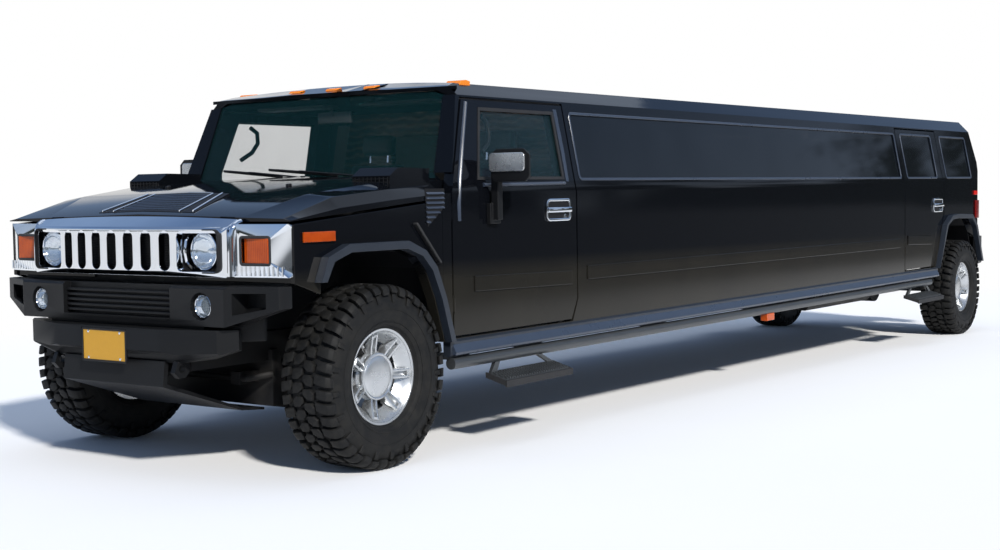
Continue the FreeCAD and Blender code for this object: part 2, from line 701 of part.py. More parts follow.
def wheel_liners():
    outer = s.side_y - s.wall
    front = Piece("front_liner")
    near = s.liner_gap
    far = s.liner_gap + s.liner_sheet
    front.add("Y", s.front_liner_y, outer, band(front_arch, near, far))
    wall_foot = s.rail_foot_z + s.rail_height + 10
    front.add("Y", s.front_liner_y, s.front_liner_y + s.liner_sheet, [
        (410 + far, s.fender_foot_z),
        *front_arch(far)[1:6],
        (-s.front_post, wall_foot),
        (410, wall_foot),
    ])
    rear = Piece("rear_liner")
    rear.add("Y", s.rear_liner_y, outer, band(rear_arch, near, far))
    rear.add("Y", s.rear_liner_y, s.rear_liner_y + s.liner_sheet, rear_arch(far))
    return pair("wheel_liners", front, rear)


def front_suspension():
    arm = Piece("suspension_arms")
    half = 62
    low = s.axle_height - 150
    high = s.axle_height + 150
    inner = s.rail_y + s.rail_width
    under_rail = s.rail_foot_z - 1
    arm.add("X", -half, half, rect(s.rail_y, low - 20, inner, under_rail))
    arm.add("X", -half, half, rect(s.rail_y + 20, low - 18, s.kingpin_y + 8, low + 18))
    arm.add("X", -half, half, rect(inner + s.pin_gap, high + 5, s.kingpin_y + 8, high + 32))
    return pair("front_suspension", arm)


def knuckle(label):
    hub = Piece(label)
    low = s.axle_height - 132 + s.pin_gap
    high = s.axle_height + 155 - s.pin_gap
    hub.add("Z", low, high, rect(-38, s.kingpin_y - 42, 38, s.kingpin_y + 20))
    face = s.track_half - s.pin_gap - 20
    hub.add("Y", s.kingpin_y - 10, face, circle(0, s.axle_height, s.spindle_radius))
    disc = s.kingpin_y + 34
    hub.add("Y", disc, disc + s.brake_width, circle(0, s.axle_height, s.brake_radius))
    return hub


def rear_axle():
    axle = Piece("rear_axle")
    place = -s.wheelbase
    face = s.track_half - s.pin_gap - 20
    axle.add("Y", -face, face, circle(place, s.axle_height, s.spindle_radius + 5))
    disc = s.kingpin_y + 34
    axle.add("Y", disc, disc + s.brake_width, circle(place, s.axle_height, s.brake_radius))
    axle.add("Y", -disc - s.brake_width, -disc, circle(place, s.axle_height, s.brake_radius))
    axle.add("Y", -150, 150, circle(place, s.axle_height - 10, 150))
    for side in (1, -1):
        near = s.rail_y * side
        far = (s.rail_y + s.rail_width) * side
        low_y, high_y = (near, far) if side > 0 else (far, near)
        axle.add("Y", low_y, high_y, rect(place - 55, s.axle_height, place + 55, s.rail_foot_z + s.rake_rise - 1))
    return axle


def powertrain():
    power = Piece("powertrain")
    power.add("X", -440, 360, rect(-280, 560, 280, 1110))
    power.add("X", -300, -180, rect(-s.rail_y, 560, s.rail_y, 630))
    power.add("X", -1250, -430, rect(-150, 400, 150, 660))
    shaft_z = 450
    tail = -s.wheelbase + 140
    power.add("X", tail, -1240, circle(0, shaft_z, 38))
    count = int((s.rail_rear.value - 996) // s.member_pitch.value)
    places = [-s.rail_rear + s.member_pitch * step for step in range(2, count, 2)]
    for place in places:
        power.add("X", place, place + s.member_width, rect(-70, 400, 70, s.rail_foot_z))
    return power


def fuel_tank():
    tank = Piece("fuel_tank")
    inner = s.rail_y + s.rail_width
    tank_rear = -s.back_door_front + s.fuel_gap
    tank.add("X", tank_rear, tank_rear + s.fuel_length, [
        (inner, 400), (inner + 60, 345), (inner + 340, 345), (inner + 390, 400),
        (inner + 390, 600), (inner + 350, 640), (inner, 640),
    ])
    return tank


def exhaust():
    pipe = Piece("exhaust")
    y = -s.exhaust_y
    z = s.exhaust_z
    r = s.exhaust_radius
    start = -s.windshield_x - 75
    end = -s.back_door_front - 50
    pipe.add("X", end, start, circle(y, z, r))
    pipe.add("X", start - 3240, start - 2340, circle(y, z, r * 2.8))
    pipe.add("X", start - r, start + r, rect(y, z - r * 1.8, -183, z))
    pipe.add("X", start, -360, rect(-247, z - r * 1.8, -183, z))
    pipe.add("X", -424, -360, rect(-247, z - r * 1.8, -183, 560 - s.pin_gap))
    for place in (start - 1140, start - 2040, end + 1700, end + 300):
        pipe.add("X", place - 15, place + 15, rect(y - 20, z, y + 20, s.floor_z))
    return pipe


# Body shell

def side_wall():
    wall = Piece("side_left")
    rear = -s.body_rear
    wall.add("X", rear, -s.front_post, side_section(s.wall))
    thick = s.shoulder_y - s.windshield_foot_y
    wall.add("X", -s.header_x - s.header_depth, -s.front_post - 20, [
        (s.shoulder_y, s.shoulder_z),
        (s.crease_y, s.crease_z),
        (s.windshield_head_y, s.crease_z),
        (s.shoulder_y - thick, s.shoulder_z),
    ])
    wall.add("X", rear, rear + s.rear_post, side_section(s.side_y - s.gate_y - s.door_gap))
    lean = (s.header_x - s.windshield_x) / (s.header_z - s.cowl_z)
    top = s.crease_z + 60
    wall.cut("Y", DEEP_IN - 100, FAR_OUT, [
        (-s.front_post + 30, s.seam_rear_z + 24),
        (-s.windshield_x + lean * 72, s.seam_rear_z + 24),
        (-s.windshield_x, s.cowl_z),
        (-s.windshield_x - lean * (top - s.cowl_z), top),
        (-s.front_post + 30, top),
    ])
    trim_rear(wall)
    wall.cut("Z", s.sill_z - 10, s.crease_z + 10, corner_profile(0) + [
        (rear - 30, s.side_y - s.rear_corner_y),
        (rear - 30, s.side_y + 30),
        (rear + s.rear_corner, s.side_y + 30),
    ])
    wall.cut("Y", DEEP_IN, FAR_OUT, front_door_outline(s.door_gap), back_door_outline(s.door_gap))
    wall.cut("Y", DEEP_IN, FAR_OUT, window_outline(s.long_window_front, s.long_window_rear, 0),
             window_outline(s.quarter_front, s.quarter_rear, 0))
    arch = rear_arch(0)
    foot = s.sill_z - 20
    wall.cut("Y", DEEP_IN, FAR_OUT, [(arch[0][0], foot)] + arch[:-1] + [
        (-s.wheelbase - 420, s.rear_bumper_head_z + 5),
        (rear - 10, s.rear_bumper_head_z + 5),
        (rear - 10, foot),
    ])
    wall.cut("Y", DEEP_IN, FAR_OUT, [
        (-s.front_post + 10, s.sill_z - 10),
        (-s.front_post + 10, s.arch_head - 250),
        (-405, s.arch_head - 250),
    ])
    for hinge_x in (s.door_front, s.back_door_front):
        for foot in (s.hinge_low_z, s.hinge_high_z):
            head = foot + s.hinge_length
            wall.add("Z", foot, head, rect(-hinge_x, s.side_y - s.hinge_pin * 2, -hinge_x + s.door_gap + 5, s.side_y))
            wall.add("Z", foot, head, circle(-hinge_x, s.side_y, s.hinge_pin))
    return wall


def arc_radius(half, bow):
    """Radius of an arc over a chord of twice half."""
    return (half * half + bow * bow) / (2 * bow)


def roof_outline(z_edge, gap, foot):
    """The roof's outer surface set up by a gap and closed far below."""
    return [
        (s.crease_y, s.crease_z + gap),
        (s.roof_edge_y, z_edge + gap),
        arc(s.roof_radius, -1),
        (-s.roof_edge_y, z_edge + gap),
        (-s.crease_y, s.crease_z + gap),
        (-s.crease_y, foot),
        (s.crease_y, foot),
    ]


def roof_section(z_edge):
    inner_y = s.roof_edge_y - s.roof_sheet
    return [
        (s.crease_y, s.crease_z),
        (s.roof_edge_y, z_edge),
        arc(s.roof_radius, -1),
        (-s.roof_edge_y, z_edge),
        (-s.crease_y, s.crease_z),
        (-s.crease_y + s.wall, s.crease_z),
        (-inner_y, z_edge - s.roof_sheet),
        arc(s.roof_radius, 1),
        (inner_y, z_edge - s.roof_sheet),
        (s.crease_y - s.wall, s.crease_z),
    ]


HEADER_BOW = s.header_bow * s.crease_y * s.crease_y / (s.windshield_head_y * s.windshield_head_y)
HEADER_RADIUS = arc_radius(s.crease_y, HEADER_BOW)


def header_arc(back, ahead):
    """The region in front of the roof's bowed front edge, or behind it where ahead is below 0."""
    edge = -s.header_x + s.header_bow - HEADER_BOW - back
    return [
        (edge, -s.crease_y), arc(HEADER_RADIUS, -1), (edge, s.crease_y),
        (edge + ahead, s.crease_y), (edge + ahead, -s.crease_y),
    ]


def roof_panel():
    roof = Piece("roof_panel")
    inner_y = s.roof_edge_y - s.roof_sheet
    front = -s.header_x + s.header_bow + 5
    rear = -s.body_rear
    roof.loft(False, "X", (rear, roof_section(s.roof_edge_z + s.roof_rise)), (front, roof_section(s.roof_edge_z)))
    post_y = s.crease_y - (s.side_y - s.gate_y - s.door_gap) - s.pin_gap
    roof.add("X", rear, rear + s.rear_lean + s.wall, rect(-post_y, s.crease_z - s.header_lap, post_y, s.roof_edge_z))
    bar = header_arc(0, 0)[:3]
    edge = bar[0][0]
    rail_back = edge - s.header_depth
    roof.add("Z", s.header_z, s.ramp_z, bar + [(rail_back, s.crease_y - s.wall), (rail_back, -s.crease_y + s.wall)])
    roof.cut("Z", s.crease_z - 50, s.roof_edge_z + 300, header_arc(0, 300))
    roof.loft(True, "Z", (s.ramp_z, header_arc(0, 400)),
              (s.ramp_z + s.ramp_rise, header_arc(s.ramp_length, 400)))
    trim_rear(roof)
    hinge_x = rear_face_x(s.gate_hinge_z, 0)
    under = s.crease_z - s.header_lap
    for side in (1, -1):
        edges = span(s.gate_hinge_y, s.gate_hinge_y + s.hinge_length, side)
        roof.add("Y", *edges, circle(hinge_x, s.gate_hinge_z, s.hinge_pin))
        roof.add("Y", *edges, [
            (hinge_x - s.hinge_pin, s.gate_hinge_z),
            (hinge_x + s.hinge_pin, s.gate_hinge_z),
            (hinge_x + 20, under + 2),
            (hinge_x + 6, under + 2),
        ])
    return roof


def cowl_panel():
    cowl = Piece("cowl_panel")
    edge = s.shoulder_y - s.wall - s.door_gap
    inner = s.windshield_foot_y - 1
    back = -s.windshield_x - 30
    cowl.add("Y", -inner, inner, [
        (-s.hood_rear - s.door_gap, s.cowl_z - 62),
        (-s.hood_rear - s.door_gap, s.cowl_z + 4),
        (-s.windshield_x + s.windshield_bow - 4, s.cowl_z - 4 - s.pin_gap),
        (back, s.cowl_z - 4 - s.pin_gap),
        (back, s.cowl_z - 62),
    ])
    side = rect(back, s.cowl_z - 62, -s.hood_rear - s.door_gap, s.shoulder_z - 4)
    cowl.add("Y", inner - 5, edge, side)
    cowl.add("Y", -edge, -inner + 5, side)
    cowl.add("X", -s.windshield_x - 20, -s.windshield_x + 20, rect(-edge, s.floor_z, edge, s.cowl_z - 40))
    cowl.add("Z", s.floor_z, s.floor_z + s.floor_sheet,
             rect(-s.windshield_x - 20, -edge, -s.front_post - 10, edge))
    return cowl


def front_fender():
    fender = Piece("front_fender")
    inner = s.side_y - s.fender_sheet
    gap = s.door_gap
    fender.add("Y", inner, s.side_y, [
        (s.wing_end_x - 1, s.fender_foot_z),
        (s.wing_end_x - 1, s.seam_front_z - gap),
        (-s.front_post, s.seam_rear_z - gap),
        (-s.front_post, s.sill_z),
    ])
    arch = front_arch(0)
    fender.cut("Y", inner - 10, s.side_y + 10, [(arch[0][0], s.sill_z - 10)] + arch + [(arch[-1][0], s.sill_z - 10)])
    lip = s.side_y - s.wall
    fender.add("Y", lip, inner + 5, band(front_arch, 0, s.liner_sheet))
    fender.cut("Y", lip - 5, s.side_y + 5, rect(-s.front_post - 60, s.sill_z - 60, -s.front_post, s.seam_rear_z))
    bulkhead = s.bulkhead_x + s.bulkhead
    fender.add("X", s.bulkhead_x - 60, bulkhead, rect(s.rail_y, s.fender_foot_z, inner + 5, s.fender_foot_z + 30))
    fender.add("X", s.bulkhead_x, bulkhead, rect(s.rail_y, s.fender_foot_z, inner + 5, s.seam_front_z - 45))
    return pair("front_fenders", fender)


def body_cladding():
    """Front flare, rocker band and rear flare of one side."""
    trim = Piece("cladding")
    skin = s.side_y
    trim.add("Y", skin, s.flare_y, band(front_arch, 4, s.flare_width))
    trim.add("Y", skin, s.flare_y, band(rear_arch, 4, s.flare_width)[1:])
    tail = -s.wheelbase + 655 + s.flare_width
    rocker_head = s.sill_z + 8
    trim.add("X", tail, -s.front_post - s.flare_width + 20, [
        (skin - s.fender_sheet, s.sill_z),
        (skin, s.sill_z),
        (skin, rocker_head),
        (s.rocker_y, rocker_head - 10),
        (s.rocker_y, s.rocker_foot_z + 12),
        (s.rocker_y - 12, s.rocker_foot_z),
        (skin - s.fender_sheet, s.rocker_foot_z),
    ])
    return pair("body_cladding", trim)


def side_step():
    """The side tube with its brackets and two hoop steps."""
    step = Piece("side_step")
    step.add("X", -s.tube_rear, -s.tube_front, circle(s.tube_y, s.tube_z, s.tube_radius))
    inner = s.rail_y + s.rail_width
    head = s.rail_foot_z - s.bracket_drop
    run = s.tube_rear - s.tube_front
    for place in (-s.step_front - 345, -s.step_front + 325, -s.tube_front - run * 0.336, -s.tube_front - run * 0.546,
                  -s.tube_front - run * 0.647, -s.step_rear + 430, -s.step_rear - 240):
        step.add("X", place - 20, place + 20, [
            (s.rail_y + 10, s.rail_foot_z),
            (inner - 5, s.rail_foot_z),
            (inner + 10, head),
            (s.tube_y, head),
            (s.tube_y, s.tube_z - 16),
            (s.rail_y + 10, s.tube_z - 16),
        ])
    for middle in (s.step_front, s.step_rear):
        low = s.tube_z - s.step_drop
        near = s.tube_y - 10
        front = -middle + s.step_length / 2
        rear = -middle - s.step_length / 2
        step.add("Z", low, low + s.step_sheet, rect(rear, near, front, near + s.step_depth))
        for end in (front - 40, rear):
            step.add("X", end, end + 40, rect(near, low, near + 22, s.tube_z))
    return pair("side_steps", step)


def windshield_arc(corner_x, half, bow):
    """A bowed strip as thick as the glass."""
    radius = arc_radius(half, bow)
    edge = -corner_x - s.glass_inset
    return [
        (edge, -half), arc(radius, -1), (edge, half),
        (edge - s.glass, half), arc(radius, 1), (edge - s.glass, -half),
    ]


def fixed_glass():
    pane = Piece("windshield")
    foot_y = s.windshield_foot_y - 3
    head_y = s.windshield_head_y - 3
    pane.loft(False, "Z", (s.cowl_z - 4, windshield_arc(s.windshield_x, foot_y, s.windshield_bow)),
              (s.header_z - s.pin_gap, windshield_arc(s.header_x, head_y, s.header_bow)))
    inner_y = s.roof_edge_y - s.roof_sheet
    pane.cut("X", -s.header_x - 60, -s.header_x + 60, *both([
        (s.crease_y - s.wall, s.crease_z - 3),
        (inner_y - 30, s.roof_edge_z - s.roof_sheet - 3),
        (inner_y - 30, s.header_z + 20),
        (s.crease_y, s.header_z + 20),
        (s.crease_y, s.crease_z - 3),
    ]))
    lap = s.glass_lap
    parts = [pane.body]
    for label, front, rear in (("long_pane", s.long_window_front, s.long_window_rear),
                               ("quarter_pane", s.quarter_front, s.quarter_rear)):
        window = Piece(label)
        window.add("X", -rear + s.pin_gap, -front - s.pin_gap, pane_section(s.glass_inset))
        low = s.window_foot_z + s.pin_gap
        high = s.window_head_z - s.pin_gap
        window.cut("Y", DEEP_IN, FAR_OUT,
                   rect(-rear - 50, low - lap - 5, -front + 50, low),
                   rect(-rear - 50, high, -front + 50, high + lap + 5))
        parts.append(window.body)
        parts.append(mirror_of(window.body, f"{label}_other"))
    return group_of("fixed_glass", *parts)


# Front

def hood_loop(x, crease_y, lift, grow):
    """The hood's section at x, inset by grow, with its creases at crease_y and its crown raised by lift."""
    back = (s.hood_front - x) / (s.hood_front + s.hood_rear)
    crown = s.hood_front_z + (s.hood_rear_z - s.hood_front_z) * back + lift
    crease_z = crown - s.hood_drop
    seam = s.seam_front_z + (s.seam_rear_z - s.seam_front_z) * back
    shoulder_z = crease_z - s.hood_shoulder_drop * back - 6
    edge = s.side_y - 3 - grow
    half = [
        (crease_y, crease_z - grow),
        (s.hood_shoulder_y - grow, shoulder_z - grow),
        (edge, seam + (shoulder_z - seam) * 0.35),
        (edge, seam - grow * 1.2),
    ]
    left = [(-Size.of(y), z) for y, z in reversed(half)]
    return left + [(Size.of(0), crown - grow)] + half


def hood_sections(grow):
    """The hood's sections from the rear to the front, inset by grow."""
    stations = (
        (-s.hood_rear + grow, s.hood_crease_rear_y, 0),
        (-s.hood_dome_x, s.hood_dome_y, s.hood_dome_lift),
        (s.hood_knee_x, s.hood_knee_y, s.hood_knee_lift),
        (s.hood_front - grow, s.hood_crease_front_y, 0),
    )
    return [(x, hood_loop(x, crease_y, lift, grow)) for x, crease_y, lift in stations]


def hood_panel():
    hood = Piece("hood_panel")
    hood.loft(False, "X", *hood_sections(Size.of(0)))
    hood.loft(True, "X", *hood_sections(s.hood_sheet))
    low = s.hood_rear_z - 100
    for side in (1, -1):
        hinge = span(s.hood_hinge_y - s.door_gap, s.hood_hinge_y + s.hinge_length + s.door_gap, side)
        hood.cut("Y", *hinge, circle(s.hood_front, s.hood_hinge_z, s.hinge_pin + s.pin_gap))
        hood.add("Y", *span(s.intake_inner_y, s.hood_shoulder_y - 8, side), [
            (-s.intake_rear, low + 20),
            (-s.intake_rear, s.intake_z - 4),
            (-s.intake_front - 60, s.intake_z),
            (-s.intake_front, s.intake_z - INTAKE_FRONT_DROP),
            (-s.intake_front, low + 20),
        ])
    return hood


def grille_shell():
    shell = Piece("grille_shell")
    hood_edge = s.hood_front + s.door_gap
    head = s.seam_front_z + 16
    back = s.grille_x - s.grille_depth
    shell.add("Y", -s.grille_y, s.grille_y, [
        (s.grille_x, s.grille_foot_z),
        (s.grille_x, s.grille_slope_z),
        (s.grille_x - 12, s.grille_slope_z + 10),
        (hood_edge, head),
        (hood_edge, head - s.shell),
        (back, s.grille_slope_z),
        (back, s.grille_foot_z),
    ])
    wing = [
        (s.grille_x - 22, s.grille_y),
        (s.wing_x, s.grille_y + 16),
        (s.wing_end_x + 14, s.wing_y),
        (s.wing_end_x, s.side_y - 8),
        (s.wing_end_x, s.wing_y - 30),
        (s.wing_x - s.shell, s.grille_y + 10),
        (s.wing_x - s.shell, s.grille_y),
    ]
    other = [(x, -y) for x, y in wing]
    shell.add("Z", s.grille_foot_z, s.seam_front_z - s.door_gap, wing, other)
    pitch = s.slot_count_pitch
    slots = []
    for place in range(-3, 4):
        middle = pitch * place
        slots.append(rect(middle - s.slot_width / 2, s.slot_foot_z, middle + s.slot_width / 2, s.slot_head_z))
    half = s.lamp_opening / 2
    tall = s.lamp_opening_height / 2
    lamp = rect(s.lamp_y - half, s.lamp_z - tall, s.lamp_y + half, s.lamp_z + tall)
    shell.cut("X", back - 20, s.grille_x + 10, *slots)
    shell.cut("X", back - 20, s.grille_x + 10, *both(lamp))
    turn = rect(s.turn_y - s.turn_width / 2, s.lamp_z - s.turn_height / 2,
                s.turn_y + s.turn_width / 2, s.lamp_z + s.turn_height / 2)
    shell.cut("X", s.bulkhead_x, s.grille_x + 10, *both(turn))
    bulkhead = s.bulkhead_x + s.bulkhead
    for side in (1, -1):
        edges = span(s.grille_y, s.turn_y, side)
        shell.add("X", bulkhead, s.wing_x - 20, rect(edges[0], s.grille_foot_z, edges[1], s.grille_foot_z + 26))
        edges = span(s.hood_hinge_y, s.hood_hinge_y + s.hinge_length, side)
        shell.add("Y", *edges, [
            (s.hood_front, s.hood_hinge_z - s.hinge_pin),
            (s.hood_front, s.hood_hinge_z + s.hinge_pin),
            (hood_edge + 4, head - 1),
            (hood_edge + 4, head - 12),
        ])
        shell.add("Y", *edges, circle(s.hood_front, s.hood_hinge_z, s.hinge_pin))
    return shell


def front_lamps():
    back = s.grille_x - s.lamp_depth
    head = Piece("headlamp")
    head.add("X", back, s.grille_x - 42, circle(s.lamp_y, s.lamp_z, s.lamp_radius))
    head.add("X", s.grille_x - 42, s.grille_x - 26, circle(s.lamp_y, s.lamp_z, s.lamp_radius - 14))
    half = s.lamp_opening / 2
    tall = s.lamp_opening_height / 2
    bulkhead = s.bulkhead_x + s.bulkhead
    head.add("X", back - 12, back + 4,
             rect(s.lamp_y - half - 8, s.lamp_z - tall - 8, s.lamp_y + half + 8, s.lamp_z + tall - 4))
    head.add("X", bulkhead, back, rect(s.lamp_y - 50, s.lamp_z - 50, s.lamp_y + 50, s.lamp_z + 50))
    fog = Piece("fog_lamp")
    fog.add("X", s.bumper_x - s.bumper_recess, s.bumper_x - 14, circle(s.fog_y, s.fog_z, s.fog_radius))
    return pair("front_lamps", head, fog)


def amber_lamps():
    parts = []
    turn = Piece("turn_lamp")
    bulkhead = s.bulkhead_x + s.bulkhead
    turn.add("X", bulkhead, s.wing_end_x + 46,
             rect(s.turn_y - s.turn_width / 2 + 1, s.lamp_z - s.turn_height / 2 + 1,
                  s.turn_y + s.turn_width / 2 - 1, s.lamp_z + s.turn_height / 2 - 1))
    marker = Piece("side_marker")
    marker.add("Y", s.side_y, s.side_y + s.lamp_stand, rect(318, 1084, 523, 1130))
    low = Piece("low_marker")
    place = -s.wheelbase / 2
    low.add("Y", s.tube_y - 30, s.tube_y + 20,
            rect(place - 80, s.tube_z - s.tube_radius - 46, place + 40, s.tube_z - s.tube_radius + 4))
    low.cut("X", place - 150, place + 150, circle(s.tube_y, s.tube_z, s.tube_radius))
    for piece in (turn, marker, low):
        parts.append(piece.body)
        parts.append(mirror_of(piece.body, f"{piece.body.Label}_other"))
    slope = s.ramp_length / s.ramp_rise
    inner = Piece("middle_lamps")
    outer = Piece("outer_lamps")
    for piece, places, start, length, half, rise in (
            (inner, (-0.34, 0, 0.34), 20, 70, 42, 32), (outer, (-0.95, 0.95), 108, 120, 58, 50)):
        front = -s.header_x - start
        base = s.ramp_z - 5
        top = s.ramp_z + rise
        for step in places:
            middle = s.roof_edge_y * step
            piece.add("Y", middle - half, middle + half, [
                (front, base), (front - length, base), (front - length, top - 6),
                (front - length * 0.7, top), (front - length * 0.35, top - 4), (front, base + 12),
            ])
    spare = 30
    inner.loft(True, "Z", (s.ramp_z - spare + s.pin_gap, header_arc(-spare * slope, -600)),
               (s.ramp_z + s.ramp_rise + spare + s.pin_gap, header_arc(s.ramp_length + spare * slope, -600)))
    foot = s.crease_z - 100
    outer.loft(True, "X", (-s.body_rear, roof_outline(s.roof_edge_z + s.roof_rise, s.pin_gap, foot)),
               (-s.header_x + s.header_bow + 5, roof_outline(s.roof_edge_z, s.pin_gap, foot)))
    parts.extend([inner.body, outer.body])
    return group_of("amber_lamps", *parts)


def upper_bumper():
    bumper = Piece("upper_bumper")
    bumper.add("Z", s.bumper_foot_z, s.bumper_head_z, [
        (s.bumper_x, -s.bumper_y),
        (s.bumper_x, s.bumper_y),
        (s.bumper_end_x + 30, s.bumper_end_y - 12),
        (s.bumper_end_x, s.bumper_end_y),
        (s.bumper_end_x - 40, s.bumper_end_y),
        (s.bumper_x - s.bumper_depth, s.bumper_y - 20),
        (s.bumper_x - s.bumper_depth, -s.bumper_y + 20),
        (s.bumper_end_x - 40, -s.bumper_end_y),
        (s.bumper_end_x, -s.bumper_end_y),
        (s.bumper_end_x + 30, -s.bumper_end_y + 12),
    ])
    deep = s.bumper_x - s.bumper_recess
    bumper.cut("X", deep, s.bumper_x + 10, rect(-s.bumper_slat_y, s.bumper_foot_z + 34, s.bumper_slat_y, s.bumper_head_z + 10))
    bumper.cut("X", deep, s.bumper_x + 10, *both(circle(s.fog_y, s.fog_z, s.fog_radius + 10)))
    wing = [
        (s.bumper_y + 30, s.bumper_foot_z + 50), (s.bumper_y + 30, s.bumper_head_z - 30),
        (s.bumper_end_y - 72, s.bumper_head_z - 30), (s.bumper_end_y - 72, s.bumper_foot_z + 80),
    ]
    bumper.cut("X", s.bumper_end_x + 15, s.bumper_x + 10, *both(wing))
    bumper.cut("Y", -FAR_OUT, FAR_OUT, [
        (s.bumper_x + 5, s.bumper_head_z - 16), (s.bumper_x + 5, s.bumper_head_z + 5), (s.bumper_x - 16, s.bumper_head_z + 5),
    ])
    return bumper


def lower_bumper():
    bumper = Piece("lower_bumper")
    bumper.add("Z", s.lower_foot_z, s.lower_head_z, [
        (s.front_overhang, -s.lower_y * 0.55),
        (s.front_overhang, s.lower_y * 0.55),
        (s.lower_corner_x + 28, s.lower_y),
        (s.lower_end_x, s.lower_end_y),
        (s.lower_end_x - 45, s.lower_end_y - 40),
        (s.rail_front, s.lower_y - 90),
        (s.rail_front, -s.lower_y + 90),
        (s.lower_end_x - 45, -s.lower_end_y + 40),
        (s.lower_end_x, -s.lower_end_y),
        (s.lower_corner_x + 28, -s.lower_y),
    ])
    bumper.cut("Y", -FAR_OUT, FAR_OUT, [
        (s.front_overhang + 5, s.lower_foot_z - 5),
        (s.front_overhang + 5, s.lower_foot_z + 62),
        (s.front_overhang - 12, s.lower_foot_z + 44),
        (s.front_overhang - 62, s.lower_foot_z - 5),
    ])
    bumper.cut("X", s.front_overhang - s.plate_recess, s.front_overhang + 5,
               rect(-s.plate_half, s.lower_foot_z - 5, s.plate_half, s.plate_head_z))
    bumper.add("Z", s.lower_head_z - 5, s.bumper_foot_z, rect(s.rail_front + 5, -s.lower_y + 120, s.bumper_x - 25, s.lower_y - 120))
    skid = s.skid_sheet
    bumper.add("Y", -s.skid_y, s.skid_y, [
        (s.skid_front_x + skid, s.lower_foot_z + 6),
        (s.skid_front_x + skid, s.skid_front_z - skid),
        (s.skid_knee_x, s.skid_foot_z),
        (s.skid_rear_x, s.skid_foot_z - 15),
        (s.skid_rear_x, s.skid_foot_z - 15 + skid),
        (s.skid_knee_x - 5, s.skid_foot_z + skid),
        (s.skid_front_x - skid, s.skid_front_z),
        (s.skid_front_x - skid, s.lower_foot_z + 6),
    ])
    for side in (1, -1):
        middle = s.tow_y * side
        low = middle - s.tow_thickness / 2
        high = middle + s.tow_thickness / 2
        bumper.add("Y", low, high, [
            (s.tow_x - 45, s.lower_foot_z + 10),
            (s.tow_x + 45, s.lower_foot_z + 10),
            (s.tow_x + 45, s.tow_z - 15),
            (s.tow_x + 20, s.tow_z - 42),
            (s.tow_x - 20, s.tow_z - 42),
            (s.tow_x - 45, s.tow_z - 15),
        ])
        bumper.cut("Y", low - 5, high + 5, circle(s.tow_x, s.tow_z, s.tow_bore))
    return bumper


# Rear

def liftgate_panel():
    gate = Piece("liftgate_panel")
    lean_x = rear_face_x(s.gate_head_z, 0)
    inner_x = rear_face_x(s.gate_head_z, s.wall)
    lean = (s.shoulder_y - s.crease_y) / (s.crease_z - s.shoulder_z)
    shoulder = s.gate_y - (s.side_y - s.shoulder_y)
    top = s.gate_head_z + 20
    gate.add("Y", -s.gate_y, s.gate_y, [
        (-s.body_rear, s.gate_foot_z),
        (-s.body_rear, s.rear_lean_z),
        (lean_x, s.gate_head_z),
        (inner_x, s.gate_head_z),
        (-s.body_rear + s.wall, s.rear_lean_z),
        (-s.body_rear + s.wall, s.gate_foot_z),
    ])
    window = rect(-s.gate_window_y, s.gate_window_foot, s.gate_window_y, s.gate_window_head)
    reach = (-s.body_rear - 20, -s.body_rear + s.rear_lean + s.wall + 60)
    gate.cut("X", *reach, window)
    gate.cut("X", *reach, *both([
        (s.gate_y, s.belt_z),
        (shoulder, s.shoulder_z),
        (shoulder - lean * (top - s.shoulder_z), top),
        (s.gate_y + 30, top),
        (s.gate_y + 30, s.belt_z),
    ]))
    for side in (1, -1):
        edges = span(s.gate_hinge_y - s.door_gap, s.gate_hinge_y + s.hinge_length + s.door_gap, side)
        hinge_x = rear_face_x(s.gate_hinge_z, 0)
        gate.cut("Y", *edges, circle(hinge_x, s.gate_hinge_z, s.hinge_pin + s.pin_gap))
    return gate


def liftgate_glass():
    pane = Piece("liftgate_glass")
    foot = s.gate_window_foot + s.pin_gap
    head = s.gate_window_head - s.pin_gap
    edge = s.gate_window_y - s.pin_gap
    inset = s.glass_inset
    pane.add("Y", -edge, edge, [
        (rear_face_x(foot, inset), foot),
        (rear_face_x(head, inset), head),
        (rear_face_x(head, inset + s.glass), head),
        (rear_face_x(foot, inset + s.glass), foot),
    ])
    return pane


def rear_bumper():
    bumper = Piece("rear_bumper")
    rear = -s.wheelbase - s.rear_overhang
    front = rear + s.rear_bumper_depth
    inner = -s.body_rear - 12
    bumper.add("Z", s.rear_bumper_foot_z, s.rear_bumper_head_z, [
        (rear, -s.rear_bumper_y + 130),
        (rear, s.rear_bumper_y - 130),
        (rear + 60, s.rear_bumper_y),
        (-s.body_rear + 110, s.side_y - 8),
        (-s.body_rear + 110, s.side_y - 60),
        (inner, s.gate_y + s.door_gap * 2),
        (inner, -s.gate_y - s.door_gap * 2),
        (-s.body_rear + 110, -s.side_y + 60),
        (-s.body_rear + 110, -s.side_y + 8),
        (rear + 60, -s.rear_bumper_y),
    ])
    bumper.cut("Y", -FAR_OUT, FAR_OUT, [
        (rear - 5, s.rear_bumper_foot_z - 5),
        (rear + 70, s.rear_bumper_foot_z - 5),
        (rear - 5, s.rear_bumper_foot_z + 70),
    ])
    outer = s.receiver / 2 + s.receiver_wall + 1
    middle_z = s.rail_foot_z + s.receiver / 2 + s.receiver_wall
    bumper.cut("X", rear - 10, front + 200, rect(-outer, middle_z - outer - 10, outer, middle_z + outer))
    return bumper


